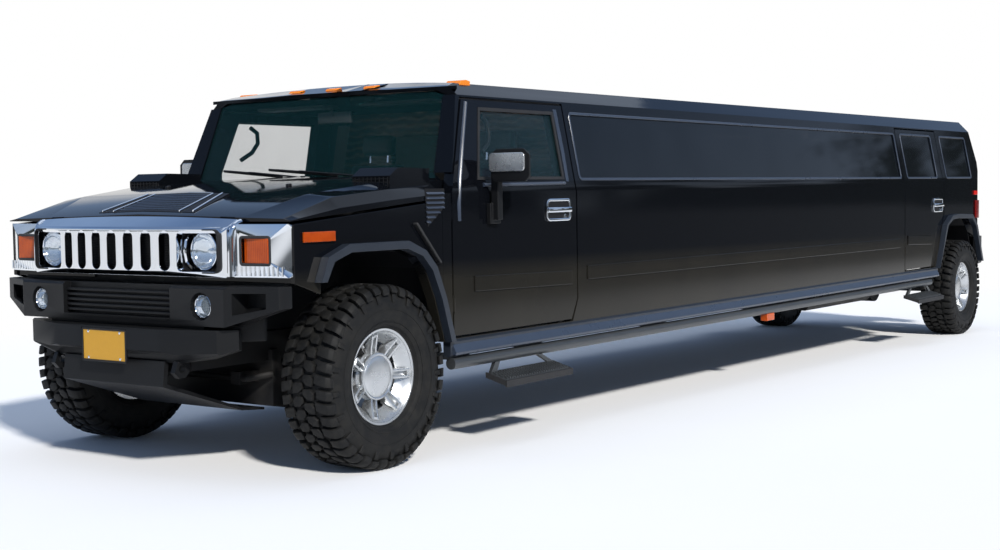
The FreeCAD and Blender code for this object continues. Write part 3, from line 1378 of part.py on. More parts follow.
def tail_lamps():
    lamp = Piece("tail_lamp")
    half = s.tail_lamp_height / 2
    ahead = -s.body_rear + s.rear_corner + s.tail_lamp_reach
    lamp.add("Z", s.tail_lamp_z - half, s.tail_lamp_z + half,
             [(ahead, s.side_y)] + corner_profile(0) + list(reversed(corner_profile(s.lamp_stand)))
             + [(ahead, s.side_y + s.lamp_stand)])
    marker = Piece("rear_marker")
    place = -s.body_rear + s.rear_corner
    marker.add("Y", s.side_y, s.side_y + s.lamp_stand, rect(place + 35, 1195, place + 125, 1235))
    return pair("tail_lamps", lamp, marker)


# Doors

def door_panel(label, outline, window, hinge_x):
    door = Piece(label)
    xs = [corner[0].value for corner in outline(0)]
    low, high = min(xs) - 20, max(xs) + 20
    door.add("X", low, high, side_section(s.wall, s.door_foot_z))
    frame = rect(low - 30, s.sill_z - 60, high + 30, s.crease_z + 60)
    door.cut("Y", DEEP_IN, FAR_OUT, frame, outline(0))
    door.cut("Y", DEEP_IN, FAR_OUT, window(0))
    for foot in (s.hinge_low_z, s.hinge_high_z):
        door.cut("Z", foot - s.door_gap, foot + s.hinge_length + s.door_gap,
                 circle(-hinge_x, s.side_y, s.hinge_pin + s.pin_gap))
    return door


def door_glass(label, window):
    pane = Piece(label)
    xs = [corner[0].value for corner in window(0)]
    low, high = min(xs) - 20, max(xs) + 20
    pane.add("X", low, high, pane_section(s.glass_inset))
    frame = rect(low - 30, s.window_foot_z - 60, high + 30, s.window_head_z + 60)
    pane.cut("Y", DEEP_IN, FAR_OUT, frame, window(-s.pin_gap))
    return pane


def back_window_outline(grow):
    return window_outline(s.back_window_front, s.back_window_rear, grow)


def mirror_head(label):
    mirror = Piece(label)
    front = -s.mirror_x + s.mirror_depth / 2
    rear = -s.mirror_x - s.mirror_depth / 2
    inner = s.mirror_y
    outer = s.mirror_y + s.mirror_width
    top = s.mirror_foot_z + s.mirror_height
    mirror.add("X", rear, front, [
        (inner, s.mirror_foot_z + 18), (inner, top - 22), (inner + 30, top),
        (outer - 34, top), (outer, top - 30), (outer, s.mirror_foot_z + 24),
        (outer - 24, s.mirror_foot_z), (inner + 18, s.mirror_foot_z),
    ])
    arm = s.mirror_arm
    arm_y = s.side_y + 18
    mirror.add("X", -s.mirror_x - arm / 2, -s.mirror_x + arm / 2, [
        (arm_y, s.mirror_plate_z + 20),
        (arm_y + arm, s.mirror_plate_z + 20),
        (arm_y + arm, s.mirror_foot_z + 70),
        (inner + 10, s.mirror_foot_z + 90),
        (inner + 10, s.mirror_foot_z + 130),
        (arm_y, s.mirror_foot_z + 120),
    ])
    mirror.add("X", -s.mirror_x - 50, -s.mirror_x + 40, rect(s.side_y, s.mirror_plate_z, arm_y + 10, s.mirror_plate_z + s.mirror_plate))
    return mirror


# Wheels, drawn about their own centre with the outside at positive Y

def tyre(label):
    rubber = Piece(label)
    half = s.tyre_width / 2
    seat = s.rim_radius - s.rim_flange
    lip = s.rim_width / 2
    shoulder = s.tyre_shoulder
    rubber.spin([
        (-lip + 4, seat),
        (-lip + 4, s.rim_radius + 4),
        (-half, s.rim_radius + 75),
        (-half + 4, s.tyre_radius - shoulder - 20),
        (-half + shoulder, s.tyre_radius - 4),
        (0, s.tyre_radius),
        (half - shoulder, s.tyre_radius - 4),
        (half - 4, s.tyre_radius - shoulder - 20),
        (half, s.rim_radius + 75),
        (lip - 4, s.rim_radius + 4),
        (lip - 4, seat),
    ])
    return rubber


def rim(label):
    metal = Piece(label)
    lip = s.rim_width / 2
    seat = s.rim_radius - s.rim_flange - s.pin_gap
    barrel = seat - s.rim_wall
    flange = 10
    disc_out = lip - s.cap_inset
    disc_in = disc_out - s.disc_thickness
    hub_in = -20
    metal.spin([
        (-lip - flange, s.rim_radius), (-lip + 4 - s.pin_gap, s.rim_radius), (-lip + 4 - s.pin_gap, seat),
        (lip - 4 + s.pin_gap, seat), (lip - 4 + s.pin_gap, s.rim_radius), (lip + flange - 10, s.rim_radius),
        (lip + flange - 10, barrel + 6),
        (disc_out, s.cap_radius), (disc_out, 0), (hub_in, 0), (hub_in, s.hub_radius),
        (disc_in, s.cap_radius), (lip - 44, barrel), (-lip - flange, barrel),
    ])
    reach = barrel - 10
    half = s.spoke_width / 2
    spread = math.tan(math.radians(s.spoke_count_angle.value / 2))
    low = s.cap_radius + 8
    metal.cut("Y", -lip, lip + 20, [
        (-(low * spread - half), low),
        (low * spread - half, low),
        (reach * spread * 0.9 - half, reach * 0.93),
        (reach * spread * 0.5 - half / 2, reach),
        (-(reach * spread * 0.5 - half / 2), reach),
        (-(reach * spread * 0.9 - half), reach * 0.93),
    ])
    metal.ring_of(7)
    return metal


# Inside

def dashboard():
    dash = Piece("dashboard")
    edge = s.side_y - s.wall - 40
    back = -s.windshield_x - 20 - s.pin_gap
    head = s.cowl_z - 62 - s.pin_gap
    dash.add("Y", -edge, edge, [
        (back, 1010), (back, head), (back - 60, head), (back - 220, 1290),
        (back - 300, 1230), (back - 290, 1080), (back - 200, 1010),
    ])
    wheel_y = 430
    dash.add("Y", wheel_y - 28, wheel_y + 28, [
        (back - 240, 1130), (back - 240, 1190), (back - 400, 1240), (back - 410, 1205),
    ])
    dash.add("X", back - 412, back - 388, circle(wheel_y, 1222, 190))
    dash.cut("X", back - 420, back - 380,
             [(wheel_y - 140, 1250), (wheel_y - 70, 1372), (wheel_y + 70, 1372), (wheel_y + 140, 1250)],
             [(wheel_y - 140, 1195), (wheel_y + 140, 1195), (wheel_y + 70, 1075), (wheel_y - 70, 1075)])
    return dash


def front_seats():
    seat = Piece("front_seat")
    top = s.floor_z + s.floor_sheet
    seat.add("Y", 190, 700, [
        (-1190, top + 90), (-1180, top + 250), (-1150, top + 280), (-1560, top + 240),
        (-1660, 1560), (-1720, 1580), (-1745, 1530), (-1700, top + 90),
    ])
    seat.add("Y", 250, 640, rect(-1640, top, -1240, top + 95))
    return pair("front_seats", seat)


def lounge_seat():
    """A bench along the left side that turns across the rear."""
    seat = Piece("lounge_seat")
    top = s.floor_z + s.floor_sheet
    edge = s.side_y - s.wall - 25
    seat.add("X", -s.back_door_front + 130, -s.door_rear - 450, [
        (edge, top), (edge - 560, top), (edge - 560, top + 330), (edge - 130, top + 330),
        (edge - 100, 1290), (edge, 1290),
    ])
    rear_edge = s.rear_liner_y - 20
    rear = -s.body_rear + s.rear_post + 90
    seat.add("Y", -rear_edge, rear_edge, [
        (rear, top), (rear + 550, top), (rear + 550, top + 330), (rear + 140, top + 330),
        (rear + 80, 1330), (rear, 1330),
    ])
    return seat


def bar_partition():
    """The wall behind the driver with its opening, and the bar along the right side."""
    bar = Piece("bar_partition")
    edge = s.side_y - s.wall - 12
    top = s.floor_z + s.floor_sheet
    place = -s.door_rear - 200
    bar.add("X", place, place + 40, [
        (-edge, top), (edge, top), (edge, s.belt_z), (s.crease_y - s.wall - 20, s.crease_z),
        (-s.crease_y + s.wall + 20, s.crease_z), (-edge, s.belt_z),
    ])
    bar.cut("X", place - 50, place + 100, rect(-480, 1300, 480, 1640))
    bar.add("X", -s.back_door_front + 550, place + 10, [(-edge, top), (-edge + 330, top), (-edge + 300, 1240), (-edge, 1240)])
    return bar


# Assembly

left_front_door = door_panel("door_front_left", front_door_outline, front_window_outline, s.door_front)
left_back_door = door_panel("door_rear_left", back_door_outline, back_window_outline, s.back_door_front)
left_front_pane = door_glass("door_glass_front_left", front_window_outline)
left_back_pane = door_glass("door_glass_rear_left", back_window_outline)
left_mirror = mirror_head("mirror_left")
left_wall = side_wall()

BODY_PIECES = [
    chassis_frame().body, floor_pan().body, wheel_liners(), left_wall.body,
    mirror_of(left_wall.body, "side_right"), roof_panel().body, cowl_panel().body, front_fender(),
    grille_shell().body, front_lamps(), amber_lamps(), upper_bumper().body, lower_bumper().body,
    body_cladding(), side_step(), fixed_glass(), rear_bumper().body, tail_lamps(),
    powertrain().body, fuel_tank().body, exhaust().body, dashboard().body, front_seats(),
    lounge_seat().body, bar_partition().body, hood_panel().body, liftgate_panel().body,
    liftgate_glass().body, left_front_door.body, left_back_door.body, left_front_pane.body,
    left_back_pane.body, left_mirror.body,
    mirror_of(left_front_door.body, "door_front_right"), mirror_of(left_back_door.body, "door_rear_right"),
    mirror_of(left_front_pane.body, "door_glass_front_right"),
    mirror_of(left_back_pane.body, "door_glass_rear_right"), mirror_of(left_mirror.body, "mirror_right"),
]

left_knuckle = knuckle("knuckle_left")
LEVEL_PIECES = [front_suspension(), rear_axle().body, left_knuckle.body, mirror_of(left_knuckle.body, "knuckle_right")]

WHEEL_PIECES = []
for end, along in (("front", 0), ("rear", -s.wheelbase)):
    for side, turn in (("left", 0), ("right", 180)):
        for maker, name in ((tyre, "tyre"), (rim, "rim")):
            piece = maker(f"{name}_{end}_{side}")
            WHEEL_PIECES.append((piece.body, Size.of(along), turn))

tilt = math.atan(s.rake_rise.value / s.wheelbase.value)
middle_height = (s.lower_foot_z.value + s.lower_head_z.value) / 2
shift = (s.wheelbase.value + s.rear_overhang.value - s.front_overhang.value) / 2
shift -= middle_height * math.sin(tilt)
raked = FreeCAD.Placement(FreeCAD.Vector(shift, 0, 0), FreeCAD.Rotation(FreeCAD.Vector(0, 1, 0), math.degrees(tilt)))
level = FreeCAD.Placement(FreeCAD.Vector(shift, 0, 0), FreeCAD.Rotation())

sources = {}
for item in BODY_PIECES:
    sources[item.Name] = raked
for item in LEVEL_PIECES:
    sources[item.Name] = level


def place(item, placement):
    """Places the bodies that an item is made of."""
    if item.TypeId == "Part::Compound":
        for link in item.Links:
            place(link, placement)
    elif item.TypeId == "Part::Mirroring":
        place(item.Source, placement)
    else:
        item.Placement = placement


for item in BODY_PIECES:
    place(item, raked)
for item in LEVEL_PIECES:
    place(item, level)
for item, along, turn in WHEEL_PIECES:
    sideways = s.track_half.value if turn == 0 else -s.track_half.value
    item.Placement = FreeCAD.Placement(
        FreeCAD.Vector(shift + along.value, sideways, s.axle_height.value),
        FreeCAD.Rotation(FreeCAD.Vector(0, 0, 1), turn),
    )
doc.recompute()

for item in doc.Objects:
    if "Invalid" in item.State or "Error" in item.State:
        raise RuntimeError(f"{item.Label} failed: {item.State}")

os.makedirs("parts", exist_ok=True)
nodes = BODY_PIECES + LEVEL_PIECES + [item for item, _, _ in WHEEL_PIECES]
for item in nodes:
    if item.Shape.isNull() or not item.Shape.isValid():
        raise RuntimeError(f"{item.Label} has no valid shape")
    box = item.Shape.BoundBox
    print(f"{item.Label:24s} solids {len(item.Shape.Solids)} volume {item.Shape.Volume / 1e9:.4f} m3 "
          f"x {box.XMin:.0f} {box.XMax:.0f} y {box.YMin:.0f} {box.YMax:.0f} z {box.ZMin:.0f} {box.ZMax:.0f}")
for item in nodes:
    item.Shape.exportStep(f"parts/{item.Label}.step")
print(f"shift {shift:.3f} tilt {math.degrees(tilt):.5f} nodes {len(nodes)}")
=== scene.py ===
"""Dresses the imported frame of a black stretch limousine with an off-road style front.

Sizes are in metres. Most pieces are drawn in the body's own axes, which have the front axle at x = 0 and the
ground under it at z = 0, and are then leaned with the body by RAKED. Wheels stand level.
"""
import json
import math

import bmesh
import bpy
from bpy.props import FloatProperty, FloatVectorProperty, IntProperty, PointerProperty
from mathutils import Matrix, Vector
from mathutils.bvhtree import BVHTree

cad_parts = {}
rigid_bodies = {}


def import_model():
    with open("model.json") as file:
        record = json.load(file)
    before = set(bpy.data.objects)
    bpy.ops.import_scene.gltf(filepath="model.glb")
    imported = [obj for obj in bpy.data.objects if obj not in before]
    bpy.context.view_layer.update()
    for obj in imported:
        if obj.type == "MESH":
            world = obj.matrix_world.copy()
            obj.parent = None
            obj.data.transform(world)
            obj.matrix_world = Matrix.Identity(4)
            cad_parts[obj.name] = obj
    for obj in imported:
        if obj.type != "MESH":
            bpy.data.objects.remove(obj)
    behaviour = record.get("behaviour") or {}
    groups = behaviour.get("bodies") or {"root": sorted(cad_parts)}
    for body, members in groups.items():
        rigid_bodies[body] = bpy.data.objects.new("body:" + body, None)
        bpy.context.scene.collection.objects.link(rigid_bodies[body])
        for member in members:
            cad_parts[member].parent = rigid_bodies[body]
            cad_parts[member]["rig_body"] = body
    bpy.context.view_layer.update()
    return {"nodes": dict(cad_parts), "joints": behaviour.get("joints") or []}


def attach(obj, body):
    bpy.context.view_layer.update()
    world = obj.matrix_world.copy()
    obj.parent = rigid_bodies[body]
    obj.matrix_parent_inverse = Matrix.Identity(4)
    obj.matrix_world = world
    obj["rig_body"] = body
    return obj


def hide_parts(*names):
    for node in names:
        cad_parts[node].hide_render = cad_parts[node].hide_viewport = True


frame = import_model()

bl_info = {
    "name": "Stretch limousine dressing",
    "version": (1, 0, 0),
    "blender": (4, 5, 0),
    "location": "View3D > Sidebar > Limousine",
    "description": "Builds the visible shell, wheels, lamps, glass, trim and cabin of a stretch limousine",
    "category": "Object",
}


# Places in the frame

def joint(name):
    return next(item for item in frame["joints"] if item["name"] == name)


SHIFT = joint("steer_left")["pos_m"][0]
UPRIGHT = joint("front_left_door_hinge")["axis"]
RAKED = Matrix((
    (UPRIGHT[2], 0, UPRIGHT[0], SHIFT),
    (0, 1, 0, 0),
    (-UPRIGHT[0], 0, UPRIGHT[2], 0),
    (0, 0, 0, 1),
))
WHEELBASE = SHIFT - joint("rear_left_wheel_spin")["pos_m"][0]
AXLE_Z = joint("rear_left_wheel_spin")["pos_m"][2]
TRACK_HALF = joint("rear_left_wheel_spin")["pos_m"][1]
REAR_OVERHANG = 0.63
BODY_REAR = WHEELBASE + REAR_OVERHANG
OTHER_SIDE = Matrix.Diagonal((1, -1, 1, 1))
SIDES = (("left", Matrix()), ("right", OTHER_SIDE))
SIDE_FACE = 0.984
GRILLE_FACE = 0.740
HEADLAMP = (0.676, 0.527, 1.048)
FOG_LAMP = (0.722, 0.562, 0.805)
FRONT_STEP = -1.143
REAR_STEP = -7.150


def side_skin(z):
    """Distance of the body's side from the centreline at a height."""
    steps = ((0.0, 0.985), (1.29, 0.985), (1.36, 0.970), (1.79, 0.885), (1.857, 0.800))
    for (z0, y0), (z1, y1) in zip(steps, steps[1:]):
        if z <= z1:
            return y0 + (y1 - y0) * (z - z0) / (z1 - z0)
    return 0.8


def on_windshield(y, z, proud):
    """A point on the windshield's outer face, lifted off it by proud."""
    foot = -0.585 + 0.075 * (1 - (y / 0.851) ** 2)
    head = -0.738 + 0.028 * (1 - (y / 0.805) ** 2)
    share = (z - 1.372) / (1.818 - 1.372)
    return Vector((foot + (head - foot) * share + proud * 0.94, y, z + proud * 0.33))


def nose_sweep(y):
    """How far back the curved grille front lies at a distance from the centreline."""
    return 0.19 * y * y - 0.017


def hood_front(y):
    """Height of the hood's front edge."""
    return 1.212 - 0.016 * (y / 0.68) ** 2


def wing_slope(y):
    """How far back the panel round a turn lamp lies at a distance from the centreline."""
    return (y - 0.684) * 0.125


# Materials

class Wire:
    """One socket of a node, so that sums on it can be written as sums."""

    def __init__(self, tree, socket):
        self.tree = tree
        self.socket = socket

    def _sum(self, operation, first, second):
        node = self.tree.nodes.new("ShaderNodeMath")
        node.operation = operation
        for entry, value in zip(node.inputs, (first, second)):
            if isinstance(value, Wire):
                self.tree.links.new(value.socket, entry)
            else:
                entry.default_value = value
        return Wire(self.tree, node.outputs[0])

    def __add__(self, other):
        return self._sum("ADD", self, other)

    def __radd__(self, other):
        return self._sum("ADD", other, self)

    def __sub__(self, other):
        return self._sum("SUBTRACT", self, other)

    def __rsub__(self, other):
        return self._sum("SUBTRACT", other, self)

    def __mul__(self, other):
        return self._sum("MULTIPLY", self, other)

    def __rmul__(self, other):
        return self._sum("MULTIPLY", other, self)

    def __pow__(self, other):
        return self._sum("POWER", self, other)

    def clamped(self):
        """The value, kept between 0 and 1."""
        return self._sum("MINIMUM", self._sum("MAXIMUM", self, 0.0), 1.0)


class Nodes:
    """The node tree of a material or of the world."""

    def __init__(self, owner):
        owner.use_nodes = True
        self.tree = owner.node_tree
        self.tree.nodes.clear()

    def plug(self, entry, value):
        if isinstance(value, Wire):
            self.tree.links.new(value.socket, entry)
        elif hasattr(value, "__len__") and len(value) == 3 and len(entry.default_value) == 4:
            entry.default_value = (*value, 1.0)
        else:
            entry.default_value = value

    def node(self, kind, options=None, sockets=None, out=0):
        """Any node, with its options and the values or links of its sockets. An output node has no out."""
        made = self.tree.nodes.new(kind)
        for key, value in (options or {}).items():
            if key == "stops":
                ramp = made.color_ramp
                while len(ramp.elements) < len(value):
                    ramp.elements.new(0.5)
                for element, (place, colour) in zip(ramp.elements, value):
                    element.position = place
                    element.color = (*colour, 1.0)
            else:
                setattr(made, key, value)
        for key, value in (sockets or {}).items():
            self.plug(made.inputs[key], value)
        return None if out is None else Wire(self.tree, made.outputs[out])

    def ramp(self, value, *stops):
        return self.node("ShaderNodeValToRGB", {"stops": stops}, {0: value})

    def blend(self, share, first, second):
        return self.node("ShaderNodeMix", {"data_type": "RGBA"}, {0: share, 6: first, 7: second}, out=2)


class Finish(Nodes):
    """A material that is built from nodes round one Principled shader."""

    def __init__(self, name):
        self.material = bpy.data.materials.new(name)
        super().__init__(self.material)
        self.out = self.tree.nodes.new("ShaderNodeOutputMaterial")
        self.shader = self.tree.nodes.new("ShaderNodeBsdfPrincipled")
        self.tree.links.new(self.shader.outputs[0], self.out.inputs[0])

    def place(self, scale=(1, 1, 1)):
        """Object coordinates, scaled."""
        where = self.node("ShaderNodeTexCoord", out="Object")
        return self.node("ShaderNodeMapping", {}, {"Vector": where, "Scale": scale})

    def along(self, axis):
        """One coordinate, in metres."""
        where = self.node("ShaderNodeTexCoord", out="Object")
        return self.node("ShaderNodeSeparateXYZ", {}, {0: where}, out="XYZ".index(axis))

    def noise(self, scale, detail=3.0, rough=0.5, stretch=(1, 1, 1)):
        return self.node("ShaderNodeTexNoise", {}, {
            "Vector": self.place(stretch), "Scale": scale, "Detail": detail, "Roughness": rough})

    def cells(self, scale, **options):
        return self.node("ShaderNodeTexVoronoi", options, {"Vector": self.place(), "Scale": scale})

    def bump(self, height, strength, distance):
        return self.node("ShaderNodeBump", {}, {"Height": height, "Strength": strength, "Distance": distance})

    def give(self, **values):
        for key, value in values.items():
            self.plug(self.shader.inputs[key.replace("_", " ")], value)
        return self.material


FINISHES = {}


def finish_named(name):
    """Each finish is mixed once and then shared by every piece that has it."""
    if name not in FINISHES:
        FINISHES[name] = MIXERS[name](name)
    return FINISHES[name]


def settings():
    return bpy.context.scene.limousine


def gloss_paint(name):
    mix = Finish(name)
    colour = tuple(settings().paint_colour)
    height = mix.along("Z")
    # Up to about 0.9 m, fading out by 0.97 m, the paint is blended towards brown and made rougher: dust, and
    # a painted reflection of the ground.
    dust_and_ground_reflection = mix.ramp(height, (0.0, (1, 1, 1)), (0.86, (0.8, 0.8, 0.8)), (0.965, (0, 0, 0)))
    dust_and_ground_reflection = dust_and_ground_reflection * (0.40 + mix.noise(2.2, 4.0) * 0.5)
    # The brown stands for the dust and for the painted reflection of the ground.
    base = mix.blend(dust_and_ground_reflection, colour, (0.026, 0.0235, 0.0175))
    peel = mix.noise(260.0, 2.0)
    wave = mix.noise(1.6, 1.0)
    return mix.give(
        Base_Color=base,
        Roughness=0.035 + dust_and_ground_reflection * 0.06 + mix.noise(9.0, 3.0) * 0.02,
        Specular_IOR_Level=0.24,
        IOR=1.45,
        Normal=mix.bump(peel * 0.10 + wave, 0.08, 0.004),
    )


def grained_plastic(name):
    mix = Finish(name)
    grain = mix.cells(460.0)
    cloud = mix.noise(5.0, 4.0)
    base = mix.blend(cloud, tuple(settings().bumper_colour), (0.009, 0.0095, 0.0105))
    return mix.give(
        Base_Color=base,
        Roughness=0.36 + cloud * 0.16,
        Specular_IOR_Level=0.20,
        Normal=mix.bump(grain, 0.28, 0.0008),
    )


def tyre_rubber(name):
    mix = Finish(name)
    cloud = mix.noise(9.0, 5.0)
    fine = mix.noise(160.0, 4.0)
    dirt = mix.ramp(mix.noise(22.0, 6.0, 0.65), (0.42, (0, 0, 0)), (0.72, (1, 1, 1)))
    base = mix.blend(cloud, (0.0045, 0.0048, 0.0051), (0.0105, 0.0108, 0.0112))
    base = mix.blend(dirt * 0.30, base, (0.036, 0.033, 0.027))
    return mix.give(
        Base_Color=base,
        Roughness=0.56 + cloud * 0.18,
        Specular_IOR_Level=0.20,
        Normal=mix.bump(fine, 0.35, 0.0012),
    )


def frame_black(name):
    mix = Finish(name)
    cloud = mix.noise(8.0, 5.0)
    dirt = mix.ramp(mix.noise(3.0, 6.0, 0.6), (0.45, (0, 0, 0)), (0.75, (1, 1, 1)))
    base = mix.blend(cloud, (0.006, 0.006, 0.007), (0.014, 0.014, 0.014))
    base = mix.blend(dirt * 0.3, base, (0.028, 0.023, 0.017))
    return mix.give(
        Base_Color=base,
        Roughness=0.5 + cloud * 0.3,
        Specular_IOR_Level=0.25,
        Normal=mix.bump(mix.noise(150.0, 4.0), 0.3, 0.001),
    )


def pipe_metal(name):
    mix = Finish(name)
    cloud = mix.noise(14.0, 6.0, 0.6)
    rust = mix.ramp(cloud, (0.40, (0.16, 0.15, 0.14)), (0.58, (0.14, 0.09, 0.055)),
                    (0.8, (0.09, 0.045, 0.022)))
    return mix.give(Base_Color=rust, Metallic=0.7, Roughness=0.42 + cloud * 0.35,
                    Normal=mix.bump(cloud, 0.2, 0.002))


def cloudy(cloud, colours, rough, grain=None, alpha=None, stretch=(1, 1, 1), **more):
    """Prepares a finish in which one soft noise moves the colour, the roughness and the alpha.

    A colour may be the name of a setting. The grain is a size, a detail, a strength and a depth.
    """
    def mixed(name):
        mix = Finish(name)
        shade = mix.noise(*cloud, stretch=stretch)
        ends = [tuple(getattr(settings(), end)) if isinstance(end, str) else end for end in colours]
        values = dict(more, Roughness=rough[0] + shade * rough[1])
        values["Base_Color"] = mix.blend(shade, *ends) if len(ends) == 2 else ends[0]
        if alpha:
            values["Alpha"] = alpha[0] + shade * alpha[1]
        if grain:
            size, detail, strength, depth = grain
            values["Normal"] = mix.bump(mix.noise(size, detail), strength, depth)
        return mix.give(**values)
    return mixed


def lens_colour(deep, light, high, edge):
    """Prepares a fluted lens. The lamps above the edge height are of the third colour."""
    def mixed(name):
        mix = Finish(name)
        flute = mix.node("ShaderNodeTexWave", {"bands_direction": "Y"}, {
            "Vector": mix.place(), "Scale": 28.0})
        cell = mix.cells(110.0)
        shade = mix.noise(16.0, 3.0) * 0.7 + flute * 0.3
        above = ((mix.along("Z") - edge) * 25.0).clamped()
        return mix.give(
            Base_Color=mix.blend(above, mix.blend(shade, deep, light), high),
            Roughness=0.05 + cell * 0.06,
            Specular_IOR_Level=0.35,
            Normal=mix.bump(flute * 0.5 + cell, 0.25, 0.0012),
        )
    return mixed


def lamp_mirror(name):
    mix = Finish(name)
    facet = mix.cells(42.0)
    return mix.give(Base_Color=mix.blend(facet, (0.84, 0.88, 0.93), (0.95, 0.96, 0.97)), Metallic=1.0,
                    Roughness=0.06 + facet * 0.03, Normal=mix.bump(facet, 0.35, 0.002))


def plate_yellow(name):
    mix = Finish(name)
    wear = mix.noise(40.0, 5.0)
    return mix.give(
        Base_Color=mix.blend(wear * 0.35, (0.54, 0.275, 0.010), (0.40, 0.20, 0.014)),
        Roughness=0.28 + wear * 0.15,
        Normal=mix.bump(mix.noise(900.0, 1.0), 0.1, 0.0004),
    )


def leather_black(name):
    mix = Finish(name)
    grain = mix.cells(260.0, feature="DISTANCE_TO_EDGE")
    cloud = mix.noise(5.0, 4.0)
    base = mix.blend(cloud, tuple(settings().leather_colour), (0.045, 0.043, 0.040))
    return mix.give(
        Base_Color=base,
        Roughness=0.40 + cloud * 0.16,
        Sheen_Weight=0.08,
        Normal=mix.bump(mix.node("ShaderNodeClamp", {}, {0: grain * 8.0}), 0.35, 0.0012),
    )


def cabinet_wood(name):
    mix = Finish(name)
    ring = mix.node("ShaderNodeTexWave", {"wave_type": "BANDS", "bands_direction": "Z"}, {
        "Vector": mix.place((0.35, 1.0, 1.0)), "Scale": 7.0, "Distortion": 5.0, "Detail": 3.0})
    return mix.give(
        Base_Color=mix.blend(ring, (0.060, 0.022, 0.009), (0.155, 0.066, 0.026)),
        Roughness=0.20 + ring * 0.10,
        Coat_Weight=0.5,
        Normal=mix.bump(ring, 0.06, 0.001),
    )


def pale_floor(name):
    """Pale ground under the limousine that passes into light, with dark ground beyond it in front."""
    mix = Finish(name)
    cloud = mix.noise(0.6, 3.0)
    tone = tuple(settings().floor_colour)
    pale = mix.blend(cloud, tone, tuple(part * 0.97 for part in tone))
    ahead = ((mix.along("X") - 6.5) * 0.25).clamped() * 0.32
    road = (ahead + ((mix.along("Y") - 4.0) * 0.25).clamped()).clamped()
    made = mix.give(Base_Color=mix.blend(road, pale, (0.125, 0.128, 0.124)), Roughness=0.7 + cloud * 0.1,
                    Specular_IOR_Level=0.0)
    away = ((mix.along("X") * 0.55) ** 2.0 + (mix.along("Y") + 0.4) ** 2.0) ** 0.5
    camera, glossy, through = (
        mix.node("ShaderNodeLightPath", out=f"Is {ray} Ray") for ray in ("Camera", "Glossy", "Transmission"))
    share = ((away - 3.2) * 0.30).clamped() * (camera + glossy + through).clamped() * (1.0 - road)
    white = mix.node("ShaderNodeEmission", {}, {"Color": (1.0, 1.0, 1.0), "Strength": 1.0})
    both = mix.node("ShaderNodeMixShader", {}, {0: share, 1: Wire(mix.tree, mix.shader.outputs[0]), 2: white})
    mix.plug(mix.out.inputs[0], both)
    return made


MIXERS = {
    "gloss_paint": gloss_paint,
    "satin_trim": cloudy(
        (6.0, 4.0), ((0.012, 0.016, 0.024), (0.022, 0.028, 0.039)), (0.26, 0.14),
        (420.0, 2.0, 0.10, 0.001), Specular_IOR_Level=0.5),
    "edge_strip": cloudy(
        (5.0, 4.0), ((0.022, 0.031, 0.050), (0.034, 0.045, 0.068)), (0.22, 0.14),
        (420.0, 2.0, 0.08, 0.001), Specular_IOR_Level=0.6),
    "grained_plastic": grained_plastic,
    "plain_plastic": cloudy(
        (14.0, 3.0), ((0.004, 0.004, 0.005), (0.009, 0.009, 0.010)), (0.38, 0.2),
        (500.0, 2.0, 0.15, 0.0006), Specular_IOR_Level=0.3),
    "soft_rubber": cloudy(
        (20.0, 4.0), ((0.008, 0.008, 0.009), (0.020, 0.020, 0.021)), (0.55, 0.2),
        (700.0, 2.0, 0.2, 0.0005)),
    "bright_chrome": cloudy(
        (7.0, 5.0), ("chrome_colour", (0.72, 0.75, 0.79)), (0.035, 0.05),
        (3.0, 1.5, 0.16, 0.004), Metallic=1.0),
    "cast_alloy": cloudy(
        (18.0, 5.0), ((0.50, 0.52, 0.53), (0.66, 0.67, 0.68)), (0.22, 0.12),
        (320.0, 2.0, 0.10, 0.0008), Metallic=0.86),
    "tyre_rubber": tyre_rubber,
    "frame_black": frame_black,
    "tube_grey": cloudy(
        (11.0, 4.0), ((0.050, 0.055, 0.060), (0.100, 0.108, 0.114)), (0.30, 0.2),
        (220.0, 3.0, 0.15, 0.0008), stretch=(0.25, 1, 1), Metallic=0.55),
    "pipe_metal": pipe_metal,
    "cast_iron": cloudy(
        (20.0, 6.0), ((0.030, 0.029, 0.028), (0.085, 0.080, 0.074)), (0.55, 0.25),
        (240.0, 4.0, 0.4, 0.0015), Metallic=0.4),
    "brake_metal": cloudy(
        (60.0, 2.0), ((0.10, 0.10, 0.10), (0.22, 0.21, 0.20)), (0.35, 0.25), Metallic=0.9),
    "windshield_glass": cloudy(
        (4.0, 4.0), ("windshield_colour",), (0.02, 0.03), alpha=(0.09, 0.05), Specular_IOR_Level=0.5),
    "privacy_glass": cloudy(
        (3.0, 4.0), ("side_glass_colour", (0.007, 0.009, 0.012)), (0.015, 0.03),
        (0.9, 1.0, 0.12, 0.01), alpha=(0.90, 0.05), Specular_IOR_Level=0.26),
    "door_glass": cloudy(
        (3.0, 4.0), ((0.012, 0.040, 0.048), (0.020, 0.056, 0.066)), (0.015, 0.03),
        alpha=(0.15, 0.05), Specular_IOR_Level=0.9),
    "lens_clear": cloudy(
        (30.0, 1.0), ((0.40, 0.48, 0.54),), (0.02, 0.03), alpha=(0.10, 0.08), Specular_IOR_Level=0.8),
    "lens_amber": lens_colour((0.20, 0.017, 0.002), (0.56, 0.092, 0.006), (0.80, 0.215, 0.010), 1.6),
    "lens_red": lens_colour((0.10, 0.003, 0.003), (0.24, 0.008, 0.006), (0.52, 0.016, 0.012), 1.25),
    "lamp_mirror": lamp_mirror,
    "plate_yellow": plate_yellow,
    "leather_black": leather_black,
    "cabin_trim": cloudy(
        (4.0, 3.0), ((0.016, 0.016, 0.017), (0.032, 0.031, 0.030)), (0.72, 0.15), (380.0, 2.0, 0.3, 0.001)),
    "cabinet_wood": cabinet_wood,
    "pale_floor": pale_floor,
}


# Shapes

